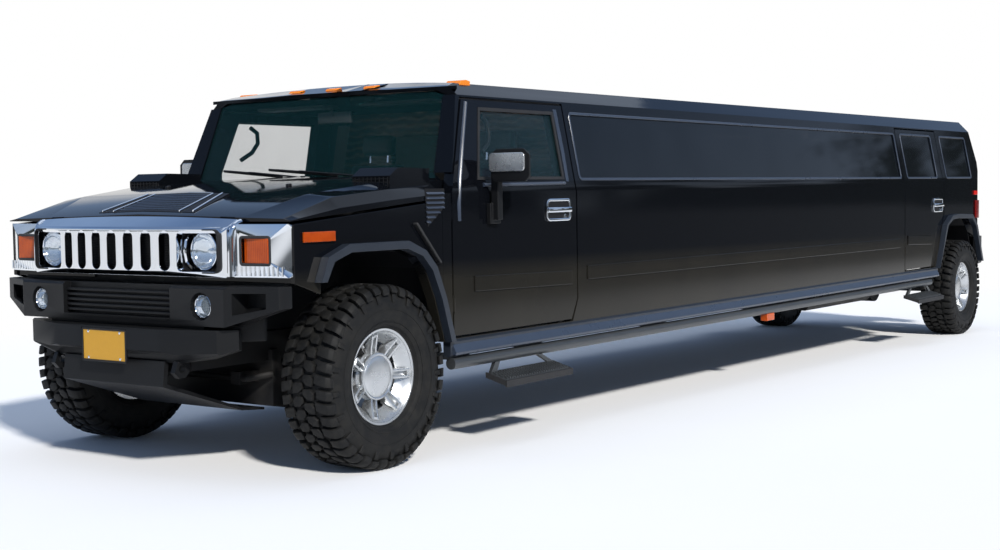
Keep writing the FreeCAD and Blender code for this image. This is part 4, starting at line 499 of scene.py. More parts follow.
class Shape:
    """A mesh that bmesh operators build up, and that is then fitted to a body."""

    def __init__(self):
        self.bm = bmesh.new()

    def block(self, low, high):
        made = bmesh.ops.create_cube(self.bm, size=1.0)["verts"]
        low, high = Vector(low), Vector(high)
        bmesh.ops.scale(self.bm, vec=high - low, verts=made)
        bmesh.ops.translate(self.bm, vec=(low + high) / 2, verts=made)
        return self

    def drawn_out(self, faces, way):
        """Draws faces out along way and keeps the first ones as the other end."""
        drawn = bmesh.ops.extrude_face_region(self.bm, geom=faces, use_keep_orig=True)["geom"]
        moved = [item for item in drawn if isinstance(item, bmesh.types.BMVert)]
        bmesh.ops.translate(self.bm, vec=Vector(way), verts=moved)
        return self

    def plate(self, corners, way):
        """A flat outline that is drawn out along way."""
        face = self.bm.faces.new([self.bm.verts.new(corner) for corner in corners])
        return self.drawn_out([face], way)

    def turned(self, profile, steps=64, closed=False, axis=(0, 1, 0)):
        """A (along, radius) profile, turned about an axis through the origin."""
        axis = Vector(axis)
        out = Vector((0, 0, 1)) if abs(axis.z) < 0.5 else Vector((1, 0, 0))
        points = [self.bm.verts.new(axis * along + out * radius) for along, radius in profile]
        pairs = list(zip(points, points[1:]))
        if closed:
            pairs.append((points[-1], points[0]))
        lines = [self.bm.edges.new(pair) for pair in pairs]
        bmesh.ops.spin(self.bm, geom=points + lines, cent=(0, 0, 0), axis=axis, angle=math.tau,
                       steps=steps, use_merge=True)
        bmesh.ops.remove_doubles(self.bm, verts=self.bm.verts, dist=1e-5)
        return self

    def rod(self, path, radius, sides=12, flat=1.0):
        """A round bar along a path of points, with closed ends."""
        path = [Vector(point) for point in path]
        rings = []
        last = None
        for place, point in enumerate(path):
            before = path[max(place - 1, 0)]
            after = path[min(place + 1, len(path) - 1)]
            way = (after - before).normalized()
            if last is None:
                turn = way.to_track_quat("Z", "Y")
            else:
                turn = last[0].rotation_difference(way) @ last[1]
            last = (way, turn)
            at_end = place in (0, len(path) - 1)
            ring = bmesh.ops.create_circle(self.bm, cap_ends=at_end, segments=sides, radius=radius)["verts"]
            shape = Matrix.Translation(point) @ turn.to_matrix().to_4x4() @ Matrix.Diagonal((1, flat, 1, 1))
            bmesh.ops.transform(self.bm, matrix=shape, verts=ring)
            rings.append(ring)
        for one, two in zip(rings, rings[1:]):
            edges = set()
            for ring in (one, two):
                inside = set(ring)
                for vert in ring:
                    edges.update(edge for edge in vert.link_edges if edge.other_vert(vert) in inside)
            bmesh.ops.bridge_loops(self.bm, edges=list(edges))
        return self

    def pierced(self, outline, holes, way):
        """A flat plate with holes through it, drawn out along way."""
        edges = []
        for loop in (outline, *holes):
            points = [self.bm.verts.new(corner) for corner in loop]
            edges += [self.bm.edges.new(pair) for pair in zip(points, points[1:] + points[:1])]
        filled = bmesh.ops.triangle_fill(self.bm, use_beauty=True, use_dissolve=False, edges=edges,
                                         normal=Vector(way))["geom"]
        self.drawn_out([item for item in filled if isinstance(item, bmesh.types.BMFace)], way)
        bmesh.ops.recalc_face_normals(self.bm, faces=self.bm.faces)
        return self

    def ring_plate(self, corners, width, way):
        """A flat frame, as wide as width inside its outline, drawn out along way."""
        face = self.bm.faces.new([self.bm.verts.new(corner) for corner in corners])
        face.normal_update()
        rim = bmesh.ops.inset_region(self.bm, faces=[face], thickness=width, use_even_offset=True,
                                     use_boundary=True)["faces"]
        bmesh.ops.delete(self.bm, geom=[face], context="FACES_ONLY")
        return self.drawn_out(rim, way)

    def bevel(self, width, steps=2, sharper=30.0):
        """Rounds every edge whose faces meet at more than sharper degrees."""
        limit = math.radians(sharper)
        edges = [edge for edge in self.bm.edges
                 if len(edge.link_faces) == 2 and edge.calc_face_angle(0.0) > limit]
        bmesh.ops.bevel(self.bm, geom=edges, offset=width, offset_type="OFFSET", segments=steps,
                        profile=0.5, affect="EDGES", clamp_overlap=True, material=-1)
        return self

    def move(self, matrix):
        bmesh.ops.transform(self.bm, matrix=matrix, verts=self.bm.verts)
        return self

    def bend(self, way):
        """Moves every point by a function of the point."""
        for vert in self.bm.verts:
            vert.co = way(vert.co)
        return self

    def lean_in(self):
        """Lays a shape that is drawn on the plane y = 0 onto the body's leaning side."""
        return self.bend(lambda point: Vector((point.x, point.y + side_skin(point.z), point.z)))

    def cut_across(self, axis, count, low, high):
        """Cuts the shape into even slices, so that it can follow a curve."""
        way = Vector((axis == "x", axis == "y", axis == "z"))
        for step in range(1, count):
            place = way * (low + (high - low) * step / count)
            bmesh.ops.bisect_plane(self.bm, geom=self.bm.verts[:] + self.bm.edges[:] + self.bm.faces[:],
                                   dist=1e-6, plane_co=place, plane_no=way)
        return self

    def drape(self, node):
        """Lays a shape, whose z is its height over the surface, onto a node from above."""
        base = bmesh.new()
        base.from_mesh(frame["nodes"][node].data)
        bmesh.ops.transform(base, matrix=RAKED.inverted(), verts=base.verts)
        tree = BVHTree.FromBMesh(base)
        for vert in self.bm.verts:
            hit = tree.ray_cast(Vector((vert.co.x, vert.co.y, 3.0)), Vector((0, 0, -1)))[0]
            if hit is not None:
                vert.co.z += hit.z
        base.free()
        return self

    def take(self, other, *matrices):
        """Adds copies of another shape."""
        mesh = bpy.data.meshes.new("copy")
        other.bm.to_mesh(mesh)
        for matrix in matrices or (Matrix(),):
            copy = mesh.copy()
            copy.transform(matrix)
            if matrix.determinant() < 0:
                copy.flip_normals()
            self.bm.from_mesh(copy)
            bpy.data.meshes.remove(copy)
        bpy.data.meshes.remove(mesh)
        return self

    def join(self, other, *matrices):
        """Adds copies of another shape, which has no other use."""
        self.take(other, *matrices)
        other.bm.free()
        return self

    def on_side(self, mirror):
        """The shape on one side of the limousine."""
        return Shape().join(self, mirror)

    def both_sides(self):
        """Adds the mirror image on the other side of the limousine."""
        return self.join(Shape().take(self, OTHER_SIDE))

    def fit(self, name, body, finish, slot=None, where=RAKED, replaces=(), crease=32.0, weighted=False,
            outward=True):
        """Makes the object, in place in the row frame, and hangs it on its body."""
        bm = self.bm
        bmesh.ops.remove_doubles(bm, verts=bm.verts, dist=2e-6)
        if outward:
            bmesh.ops.recalc_face_normals(bm, faces=bm.faces)
        limit = math.radians(crease)
        for edge in bm.edges:
            edge.smooth = len(edge.link_faces) == 2 and edge.calc_face_angle(0.0) < limit
        for face in bm.faces:
            face.smooth = True
        mesh = bpy.data.meshes.new(name)
        bm.to_mesh(mesh)
        bm.free()
        mesh.transform(where)
        mesh.materials.append(finish_named(finish))
        made = bpy.data.objects.new(name, mesh)
        bpy.context.scene.collection.objects.link(made)
        if weighted:
            shade = made.modifiers.new("even_shading", "WEIGHTED_NORMAL")
            shade.keep_sharp = True
            shade.weight = 60
        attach(made, body)
        if replaces:
            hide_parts(*replaces)
        return made


def softened(node, finish, slot, width, name=None, steps=2, keep=None, stands=True, bend=None):
    """The CAD panel with its edges rounded, in place of the sharp one."""
    shape = Shape()
    shape.bm.from_mesh(frame["nodes"][node].data)
    shape.move(RAKED.inverted())
    bmesh.ops.remove_doubles(shape.bm, verts=shape.bm.verts, dist=2e-5)
    if keep is not None:
        drop = []
        seen = set()
        for start in shape.bm.verts:
            if start in seen:
                continue
            island = [start]
            seen.add(start)
            for vert in island:
                for edge in vert.link_edges:
                    other = edge.other_vert(vert)
                    if other not in seen:
                        seen.add(other)
                        island.append(other)
            middle = sum((vert.co for vert in island), Vector()) / len(island)
            if not keep(middle):
                drop.extend(island)
        bmesh.ops.delete(shape.bm, geom=drop, context="VERTS")
    bmesh.ops.dissolve_limit(shape.bm, angle_limit=math.radians(0.4), verts=shape.bm.verts,
                             edges=shape.bm.edges, use_dissolve_boundaries=False)
    if bend:
        shape.bend(bend)
    shape.bevel(width, steps)
    body = frame["nodes"][node]["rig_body"]
    return shape.fit(name or f"{node}_shell", body, finish, slot,
                     replaces=(node,) if stands else (), weighted=True, outward=False)


def repaint(finish, *nodes):
    """Gives CAD nodes that stay as they are their finish."""
    for node in nodes:
        mesh = frame["nodes"][node].data
        mesh.materials.clear()
        mesh.materials.append(finish_named(finish))


def bar_between(start, end, wide, thick):
    """A straight bar with a flat section that faces the side, from start to end."""
    start, end = Vector(start), Vector(end)
    way = (end - start).normalized()
    side = way.cross(Vector((0, 1, 0))).normalized()
    top = side.cross(way).normalized()
    length = (end - start).length
    basis = Matrix((way * length, side * wide, top * thick)).transposed().to_4x4()
    bar = Shape().block((-0.5, -0.5, -0.5), (0.5, 0.5, 0.5))
    return bar.move(Matrix.Translation((start + end) / 2) @ basis)


def rounded_outline(low_a, low_b, high_a, high_b, radius, steps=4):
    """Corners of a rectangle with rounded corners, going round once."""
    corners = []
    for middle_a, middle_b, start in (
            (high_a - radius, low_b + radius, -90), (high_a - radius, high_b - radius, 0),
            (low_a + radius, high_b - radius, 90), (low_a + radius, low_b + radius, 180)):
        for step in range(steps + 1):
            angle = math.radians(start + 90 * step / steps)
            corners.append((middle_a + radius * math.cos(angle), middle_b + radius * math.sin(angle)))
    return corners


def rounded_across(x, *outline):
    """A rounded rectangle of y and z, on the plane at x."""
    return [(x, y, z) for y, z in rounded_outline(*outline)]


def rounded_along(y, *outline):
    """A rounded rectangle of x and z, on the plane at y."""
    return [(x, y, z) for x, z in rounded_outline(*outline)]


# Settings

class LimousineSettings(bpy.types.PropertyGroup):
    paint_colour: FloatVectorProperty(
        name="Paint", description="Colour of the gloss body paint", subtype="COLOR",
        default=(0.0030, 0.0036, 0.0052), min=0.0, max=1.0)
    bumper_colour: FloatVectorProperty(
        name="Bumpers", description="Colour of the grained bumper plastic", subtype="COLOR",
        default=(0.0045, 0.0048, 0.0055), min=0.0, max=1.0)
    chrome_colour: FloatVectorProperty(
        name="Chrome", description="Colour of the bright plated parts", subtype="COLOR",
        default=(0.86, 0.89, 0.93), min=0.0, max=1.0)
    windshield_colour: FloatVectorProperty(
        name="Windshield", description="Tint of the windshield", subtype="COLOR",
        default=(0.012, 0.060, 0.064), min=0.0, max=1.0)
    side_glass_colour: FloatVectorProperty(
        name="Side glass", description="Tint of the side and rear windows", subtype="COLOR",
        default=(0.002, 0.003, 0.004), min=0.0, max=1.0)
    leather_colour: FloatVectorProperty(
        name="Leather", description="Colour of the seats", subtype="COLOR",
        default=(0.020, 0.019, 0.018), min=0.0, max=1.0)
    floor_colour: FloatVectorProperty(
        name="Floor", description="Colour of the studio floor", subtype="COLOR",
        default=(0.92, 0.92, 0.92), min=0.0, max=1.0)
    panel_edge: FloatProperty(
        name="Panel edge", description="Rounding of the body panels' edges", default=0.006,
        min=0.001, max=0.02, unit="LENGTH")
    lug_count: IntProperty(
        name="Tread lugs", description="Tread lugs along one shoulder of a tyre", default=21, min=14, max=32)
    lug_depth: FloatProperty(name="Tread depth", description="Depth of the tread", default=0.019, min=0.004,
                             max=0.03, unit="LENGTH")
    key_strength: FloatProperty(
        name="Overhead light", description="Power of the overhead light panel in watts",
        default=210.0, min=0.0)
    sun_strength: FloatProperty(
        name="Sun", description="Strength of the sun", default=4.3, min=0.0)


# Body shell

class LIMOUSINE_OT_finish_chassis(bpy.types.Operator):
    """Gives the chassis, the running gear and the other carried-over nodes their finishes"""
    bl_idname = "limousine.finish_chassis"
    bl_label = "Finish the chassis"

    def execute(self, context):
        repaint("frame_black", "chassis_frame", "floor_pan", "front_suspension", "rear_axle", "fuel_tank")
        repaint("plain_plastic", "wheel_liners")
        repaint("pipe_metal", "exhaust")
        repaint("cast_iron", "powertrain")
        repaint("brake_metal", "knuckle_left", "knuckle_right")
        repaint("cabinet_wood", "bar_partition")
        softened("dashboard", "cabin_trim", "dark_plastic", 0.005)
        member = Shape().plate([(0.200, -0.47, 0.560), (0.150, -0.47, 0.560), (0.080, -0.47, 0.300),
                                (0.080, -0.47, 0.262), (0.200, -0.47, 0.285)], (0, 0.94, 0))
        member.bevel(0.010, 2)
        member.rod([(0.200, -0.47, 0.440), (0.300, -0.40, 0.425), (0.300, 0.40, 0.425),
                    (0.200, 0.47, 0.440)], 0.016, 12)
        for y in (-0.34, 0.34):
            member.block((0.190, y - 0.030, 0.395), (0.320, y + 0.030, 0.455))
        member.fit("front_crossmember", "car_body", "frame_black", "frame_steel")
        return {"FINISHED"}


class LIMOUSINE_OT_round_panels(bpy.types.Operator):
    """Rounds the edges of the painted panels, the cladding and the bumpers"""
    bl_idname = "limousine.round_panels"
    bl_label = "Round the panels"

    def execute(self, context):
        edge = settings().panel_edge
        for node in ("side_left", "side_right", "cowl_panel", "front_fenders", "liftgate_panel",
                     "door_front_left", "door_front_right", "door_rear_left", "door_rear_right"):
            softened(node, "gloss_paint", "body_paint", edge)
        softened("roof_panel", "gloss_paint", "body_paint", edge, bend=self.flush_pod)
        softened("body_cladding", "satin_trim", "cladding", 0.007)
        softened("upper_bumper", "grained_plastic", "bumper_plastic", 0.010, steps=3, bend=self.upper_ends)
        softened("lower_bumper", "grained_plastic", "bumper_plastic", 0.010, steps=3, bend=self.lower_ends)
        softened("rear_bumper", "grained_plastic", "bumper_plastic", 0.010, steps=3)
        return {"FINISHED"}

    def flush_pod(self, point):
        """Lowers the lamp base over the windshield into the slope of the roof's front."""
        if point.x > -0.913 and abs(point.y) < 0.31 and point.z > 1.87:
            return Vector((point.x, point.y, 1.840 + 0.048 * (-0.711 - point.x) / 0.202))
        return point

    def upper_ends(self, point):
        """Sweeps the upper bumper back and lifts its underside towards the ends."""
        out = abs(point.y)
        low = max(0.0, min(1.0, (0.80 - point.z) / 0.08))
        rise = 0.088 * max(0.0, out - 0.69) / 0.27
        sweep = 0.050 * out * out if point.x > 0.68 else 0.0
        forward = 0.012 if point.x < 0.66 and out > 0.90 else 0.0
        return Vector((point.x - sweep + forward, point.y, point.z + rise * low))

    def lower_ends(self, point):
        """Sweeps the lower bumper back and draws its ends in."""
        out = abs(point.y)
        if point.x < 0.55 or point.z < 0.54:
            return point
        low = max(0.0, min(1.0, (0.66 - point.z) / 0.10))
        rise = 0.070 * max(0.0, out - 0.50) / 0.26
        inward = max(0.0, out - 0.62) * 0.30
        sweep = 0.120 * out * out if point.x > 0.68 else 0.0
        if point.x < 0.66 and out > 0.70:
            sweep = -0.038
        return Vector((point.x - sweep, math.copysign(out - inward, point.y), point.z + rise * low))


class LIMOUSINE_OT_shape_hood(bpy.types.Operator):
    """Rounds the hood and fits its louvre, chrome strips, intake meshes and washer jets"""
    bl_idname = "limousine.shape_hood"
    bl_label = "Shape the hood"

    def execute(self, context):
        softened("hood_panel", "gloss_paint", "body_paint", settings().panel_edge)
        self.louvre()
        self.strips()
        self.intakes()
        return {"FINISHED"}

    def louvre(self):
        tray = Shape().plate([(0.548, -0.335, 0.0), (0.548, 0.335, 0.0), (0.290, 0.300, 0.0),
                              (0.290, -0.300, 0.0)], (0, 0, 0.0022))
        tray.cut_across("y", 16, -0.335, 0.335)
        tray.cut_across("x", 4, 0.290, 0.548)
        tray.drape("hood_panel")
        tray.fit("hood_tray", "hood", "plain_plastic", "dark_plastic")
        slats = Shape()
        count = 9
        for step in range(count):
            x = 0.318 + step * 0.0245
            half = 0.196 + (x - 0.318) * 0.10
            slat = Shape().plate([(x, -half, 0.0020), (x + 0.0085, -half, 0.0020),
                                  (x + 0.0085, -half, 0.0034), (x + 0.0015, -half, 0.0056)], (0, 2 * half, 0))
            slat.cut_across("y", 10, -half, half)
            slat.bevel(0.0006, 1, 35)
            slats.join(slat)
        slats.drape("hood_panel")
        slats.fit("hood_louvre", "hood", "edge_strip", "body_paint")

    def strips(self):
        strips = Shape()
        for start, end, width in (
                ((0.540, 0.318), (0.300, 0.262), 0.0042), ((0.545, 0.232), (0.305, 0.205), 0.0036)):
            line = [(start[0] + (end[0] - start[0]) * step / 8, start[1] + (end[1] - start[1]) * step / 8,
                     0.0060) for step in range(9)]
            strips.rod(line, width, 8)
        strips.both_sides()
        strips.drape("hood_panel")
        strips.fit("hood_strips", "hood", "bright_chrome", "chrome")

    def intakes(self):
        meshes, jets = Shape(), Shape()
        for number in range(9):
            y = 0.708 + number * 0.0255
            meshes.block((-0.1525, y, 1.322), (-0.1475, y + 0.004, 1.372))
        for number in range(3):
            z = 1.330 + number * 0.016
            meshes.block((-0.1525, 0.700, z), (-0.1480, 0.918, z + 0.003))
        jet = Shape().block((-0.014, -0.010, -0.004), (0.012, 0.010, 0.011))
        jet.bevel(0.004, 3)
        jets.join(jet, Matrix.Translation((0.02, 0.43, 0.0)))
        jets.both_sides()
        jets.drape("hood_panel")
        meshes.both_sides()
        meshes.fit("intake_meshes", "hood", "plain_plastic", "dark_plastic")
        jets.fit("washer_jets", "hood", "plain_plastic", "dark_plastic")


class LIMOUSINE_OT_fit_grille(bpy.types.Operator):
    """Fits the chrome grille front, its wings and the cooling core behind it"""
    bl_idname = "limousine.fit_grille"
    bl_label = "Fit the grille"

    def execute(self, context):
        self.front()
        self.wings()
        core = Shape().block((0.600, -0.40, 0.935), (0.612, 0.40, 1.160))
        for step in range(28):
            z = 0.945 + step * 0.0078
            core.block((0.612, -0.40, z), (0.620, 0.40, z + 0.0026))
        core.block((0.530, -0.90, 0.840), (0.556, 0.90, 0.975))
        core.fit("cooling_core", "car_body", "plain_plastic", "dark_plastic")
        return {"FINISHED"}

    def front(self):
        """The curved front with seven slots and two lamp openings, and the slope over it."""
        slots = []
        for number in range(7):
            middle = (number - 3) * 0.112
            slots.append(rounded_across(
                GRILLE_FACE, middle - 0.031, 0.960, middle + 0.031, 1.140, 0.0305, 6))
        lamps = [rounded_across(GRILLE_FACE, low, 0.957, high, 1.139, 0.026, 5)
                 for low, high in ((0.406, 0.632), (-0.632, -0.406))]
        outline = rounded_across(GRILLE_FACE, -0.672, 0.930, 0.672, 1.156, 0.012, 3)
        front = Shape().pierced(outline, slots + lamps, (-0.036, 0, 0))
        front.bevel(0.0055, 3, 50)
        slope = Shape().plate([(0.738, -0.672, 1.128), (GRILLE_FACE, -0.672, 1.148), (0.733, -0.672, 1.157),
                               (0.611, -0.672, 1.193), (0.607, -0.672, 1.168), (0.704, -0.672, 1.130)],
                              (0, 1.344, 0))
        slope.cut_across("y", 18, -0.672, 0.672)
        slope.bend(lambda p: Vector((
            p.x, p.y, p.z + (hood_front(p.y) - 1.200) * max(0.0, (GRILLE_FACE - p.x) / 0.140))))
        slope.bevel(0.004, 2, 35)
        front.join(slope)
        front.bend(lambda p: Vector((
            p.x - nose_sweep(p.y) * max(0.0, min(1.0, (p.x - 0.600) / 0.10)), p.y, p.z)))
        front.fit("grille_front", "car_body", "bright_chrome", "chrome", replaces=("grille_shell",),
                  weighted=True)

    def wings(self):
        """The panels round the turn lamps, each with a raised post at its inner end."""
        wings = Shape()
        opening = rounded_across(0.0, 0.714, 0.984, 0.886, 1.116, 0.016, 4)
        outline = rounded_across(0.0, 0.672, 0.932, 0.978, 1.168, 0.018, 4)
        panel = Shape().pierced(outline, [opening], (-0.024, 0, 0))
        panel.bevel(0.004, 2, 50)
        panel.bend(lambda p: Vector((
            p.x + 0.642 - wing_slope(p.y) - max(0.0, p.y - 0.945) * 1.1, p.y, p.z)))
        wings.join(panel)
        post = Shape().rod([(0.658, 0.676, 0.936), (0.657, 0.677, 1.040), (0.654, 0.679, 1.110),
                            (0.648, 0.681, 1.140), (0.636, 0.684, 1.160), (0.618, 0.687, 1.172),
                            (0.600, 0.689, 1.176)], 0.0150, 16)
        wings.join(post)
        for number in range(11):
            y = 0.700 + number * 0.0245
            x = 0.640 - wing_slope(y)
            wings.join(Shape().rod([(x, y, 0.940), (x, y, 0.982)], 0.0045, 8))
        wings.both_sides()
        wings.fit("grille_wings", "car_body", "bright_chrome", "chrome", weighted=True)


class LIMOUSINE_OT_fit_headlamps(bpy.types.Operator):
    """Fits the round headlamps and the fog lamps"""
    bl_idname = "limousine.fit_headlamps"
    bl_label = "Fit the headlamps"

    def execute(self, context):
        buckets, bowls, lenses, bezels = Shape(), Shape(), Shape(), Shape()
        quarter = Matrix.Rotation(-math.pi / 2, 4, "Z")
        for middle, radius in ((HEADLAMP, 0.081), (FOG_LAMP, 0.049)):
            at = Matrix.Translation(middle) @ quarter
            bowls.join(Shape().turned([(-0.010, radius - 0.004), (-0.026, radius * 0.84),
                                       (-0.040, radius * 0.60), (-0.050, radius * 0.34),
                                       (-0.054, radius * 0.16), (-0.040, radius * 0.14),
                                       (-0.034, radius * 0.10), (-0.032, 0.0)], 48), at)
            lenses.join(Shape().turned([(-0.010, radius - 0.002), (-0.004, radius * 0.93),
                                        (0.0, radius * 0.72), (0.003, radius * 0.4), (0.004, 0.0),
                                        (0.001, 0.0), (0.0, radius * 0.4), (-0.003, radius * 0.70),
                                        (-0.007, radius * 0.90), (-0.012, radius - 0.004)], 56), at)
            bezels.join(Shape().turned([(-0.016, radius + 0.005), (-0.002, radius + 0.004),
                                        (0.000, radius + 0.001), (-0.006, radius - 0.003),
                                        (-0.016, radius - 0.004)], 56, closed=True), at)
        box = Shape().ring_plate(rounded_across(0.700, 0.398, 0.949, 0.640, 1.147, 0.030, 5), 0.006,
                                 (-0.075, 0, 0))
        box.block((0.612, 0.398, 0.949), (0.622, 0.640, 1.147))
        buckets.join(box)
        for middle, ring in (
                (HEADLAMP, ((-0.055, 0.072), (-0.013, 0.0845), (-0.013, 0.0800), (-0.055, 0.068))),
                (FOG_LAMP, ((-0.034, 0.046), (-0.010, 0.062), (-0.010, 0.050), (-0.034, 0.040)))):
            buckets.join(Shape().turned(ring, 48, closed=True), Matrix.Translation(middle) @ quarter)
        strip = Shape().rod([(0.640, 0.419, 0.966), (0.676, 0.418, 1.000), (0.686, 0.418, 1.048),
                             (0.676, 0.418, 1.096), (0.640, 0.419, 1.130)], 0.009, 10)
        bezels.join(strip)
        for shape in (buckets, bowls, lenses, bezels):
            shape.both_sides()
        buckets.fit("lamp_buckets", "car_body", "plain_plastic", "dark_plastic", replaces=("front_lamps",))
        bowls.fit("lamp_bowls", "car_body", "lamp_mirror", "clear_lens", outward=False)
        lenses.fit("lamp_lenses", "car_body", "lens_clear", "clear_lens")
        bezels.fit("lamp_bezels", "car_body", "bright_chrome", "chrome")
        return {"FINISHED"}


class LIMOUSINE_OT_fit_markers(bpy.types.Operator):
    """Fits the amber lamps of the front, sides and roof, and the red tail lamps"""
    bl_idname = "limousine.fit_markers"
    bl_label = "Fit the marker lamps"

    def execute(self, context):
        softened("amber_lamps", "lens_amber", "amber_lens", 0.006, steps=3, bend=self.roof_lamps)
        softened("tail_lamps", "lens_red", "red_lens", 0.004)
        gaskets = Shape().ring_plate(rounded_across(0.0, 0.713, 0.983, 0.887, 1.117, 0.018, 4), 0.013,
                                     (0.004, 0, 0))
        gaskets.bevel(0.002, 1)
        gaskets.bend(lambda p: Vector((p.x + 0.640 - wing_slope(p.y), p.y, p.z)))
        gaskets.both_sides()
        gaskets.fit("turn_lamp_gaskets", "car_body", "soft_rubber", "dark_plastic")
        return {"FINISHED"}

    def roof_lamps(self, point):
        """Sets the three middle roof lamps onto the lowered base and makes the corner ones smaller."""
        if point.z < 1.80:
            return point
        out = abs(point.y)
        if out > 0.5:
            return Vector((
                -0.906 + (point.x + 0.906) * 0.88,
                math.copysign(0.760 + (out - 0.760) * 0.86, point.y),
                1.842 + (point.z - 1.844) * 0.86,
            ))
        return Vector((point.x - 0.004, point.y, point.z + 0.004))


class LIMOUSINE_OT_fit_glass(bpy.types.Operator):
    """Fits the windshield, the side panes and the liftgate's pane"""
    bl_idname = "limousine.fit_glass"
    bl_label = "Fit the glass"

    def execute(self, context):
        softened("fixed_glass", "windshield_glass", "tinted_glass", 0.001, "windshield",
                 keep=lambda point: point.x > -0.9)
        softened("fixed_glass", "privacy_glass", "tinted_glass", 0.001, "side_panes", stands=False,
                 keep=lambda point: point.x <= -0.9)
        repaint("privacy_glass", "liftgate_glass", "door_glass_rear_left", "door_glass_rear_right")
        repaint("door_glass", "door_glass_front_left", "door_glass_front_right")
        return {"FINISHED"}


# Wheels

def tyre_shape():
    """A mud tyre about the Y axis through the origin."""
    depth = settings().lug_depth
    radius = 0.4355
    floor = radius - depth
    tyre = Shape()
    half = [
        (0.106, 0.214), (0.107, 0.226), (0.113, 0.236), (0.128, 0.243), (0.140, 0.262), (0.1480, 0.292),
        (0.1500, 0.322), (0.1460, 0.350), (0.1385, 0.376), (0.1265, 0.398), (0.1080, floor - 0.005),
        (0.066, floor - 0.001),
    ]
    outline = [(-y, r) for y, r in half] + [(0.0, floor)] + list(reversed(half))
    tyre.turned(outline, 96, closed=True)
    for y, r in ((0.1420, 0.262), (0.1515, 0.318)):
        ridge = Shape().turned([(y - 0.006, r - 0.004), (y, r - 0.002), (y, r + 0.002),
                                (y - 0.006, r + 0.004)], 96, closed=True)
        tyre.join(ridge, Matrix(), OTHER_SIDE)
    count = settings().lug_count
    pitch = math.tau * radius / count

    def wrapped(shape, offset):
        def bend(point):
            angle = (point.x + offset * pitch) / radius
            return Vector((point.z * math.sin(angle), point.y, point.z * math.cos(angle)))
        return shape.bend(bend)

    def lug(inner, foot, wide):
        """A shoulder lug, drawn with x along the tread and z as the radius."""
        section = [
            (inner, floor - 0.006), (inner + 0.002, radius), (0.112, radius - 0.001), (0.134, radius - 0.008),
            (0.1490, radius - 0.024), (0.1525, foot + 0.010), (0.1500, foot), (0.1380, foot + 0.001),
            (0.112, floor - 0.014),
        ]
        shape = Shape().plate([(-wide * pitch / 2, y, z) for y, z in section], (wide * pitch, 0, 0))
        shape.bevel(0.0030, 2, 25)
        return shape.bend(lambda p: Vector((
            p.x * (1 + (p.y - 0.10) * 1.0) + (p.y - 0.07) * 0.22, p.y, p.z)))

    def side_lug(wide):
        """A low block on the sidewall, under a gap between two shoulder lugs."""
        section = ((0.1380, 0.392), (0.1475, 0.388), (0.1520, 0.352), (0.1440, 0.346))
        shape = Shape().plate([(-wide * pitch / 2, y, z) for y, z in section], (wide * pitch, 0, 0))
        shape.bevel(0.0024, 1, 25)
        return shape.bend(lambda p: Vector((p.x + (p.y - 0.07) * 0.22, p.y, p.z)))

    def centre(corners):
        shape = Shape().plate([(x * pitch, y, floor - 0.004) for x, y in corners],
                              (0, 0, radius - floor + 0.004))
        shape.bevel(0.0030, 2, 25)
        return shape

    block = [(-0.205, 0.004), (0.020, 0.002), (0.165, 0.024), (0.190, 0.058), (-0.060, 0.062),
             (-0.215, 0.040)]
    half_shape = Shape()
    for shape, offset in (
            (lug(0.068, 0.384, 0.355), 0.0), (lug(0.082, 0.396, 0.325), 0.5), (side_lug(0.20), 0.5),
            (centre(block), 0.10), (centre(block), 0.60)):
        half_shape.join(wrapped(shape, offset))
    opposite = OTHER_SIDE @ Matrix.Rotation(math.tau / count * 0.28, 4, "Y")
    one_step = Shape().join(half_shape, Matrix(), opposite)
    tyre.join(one_step, *(Matrix.Rotation(step * math.tau / count, 4, "Y") for step in range(count)))
    return tyre


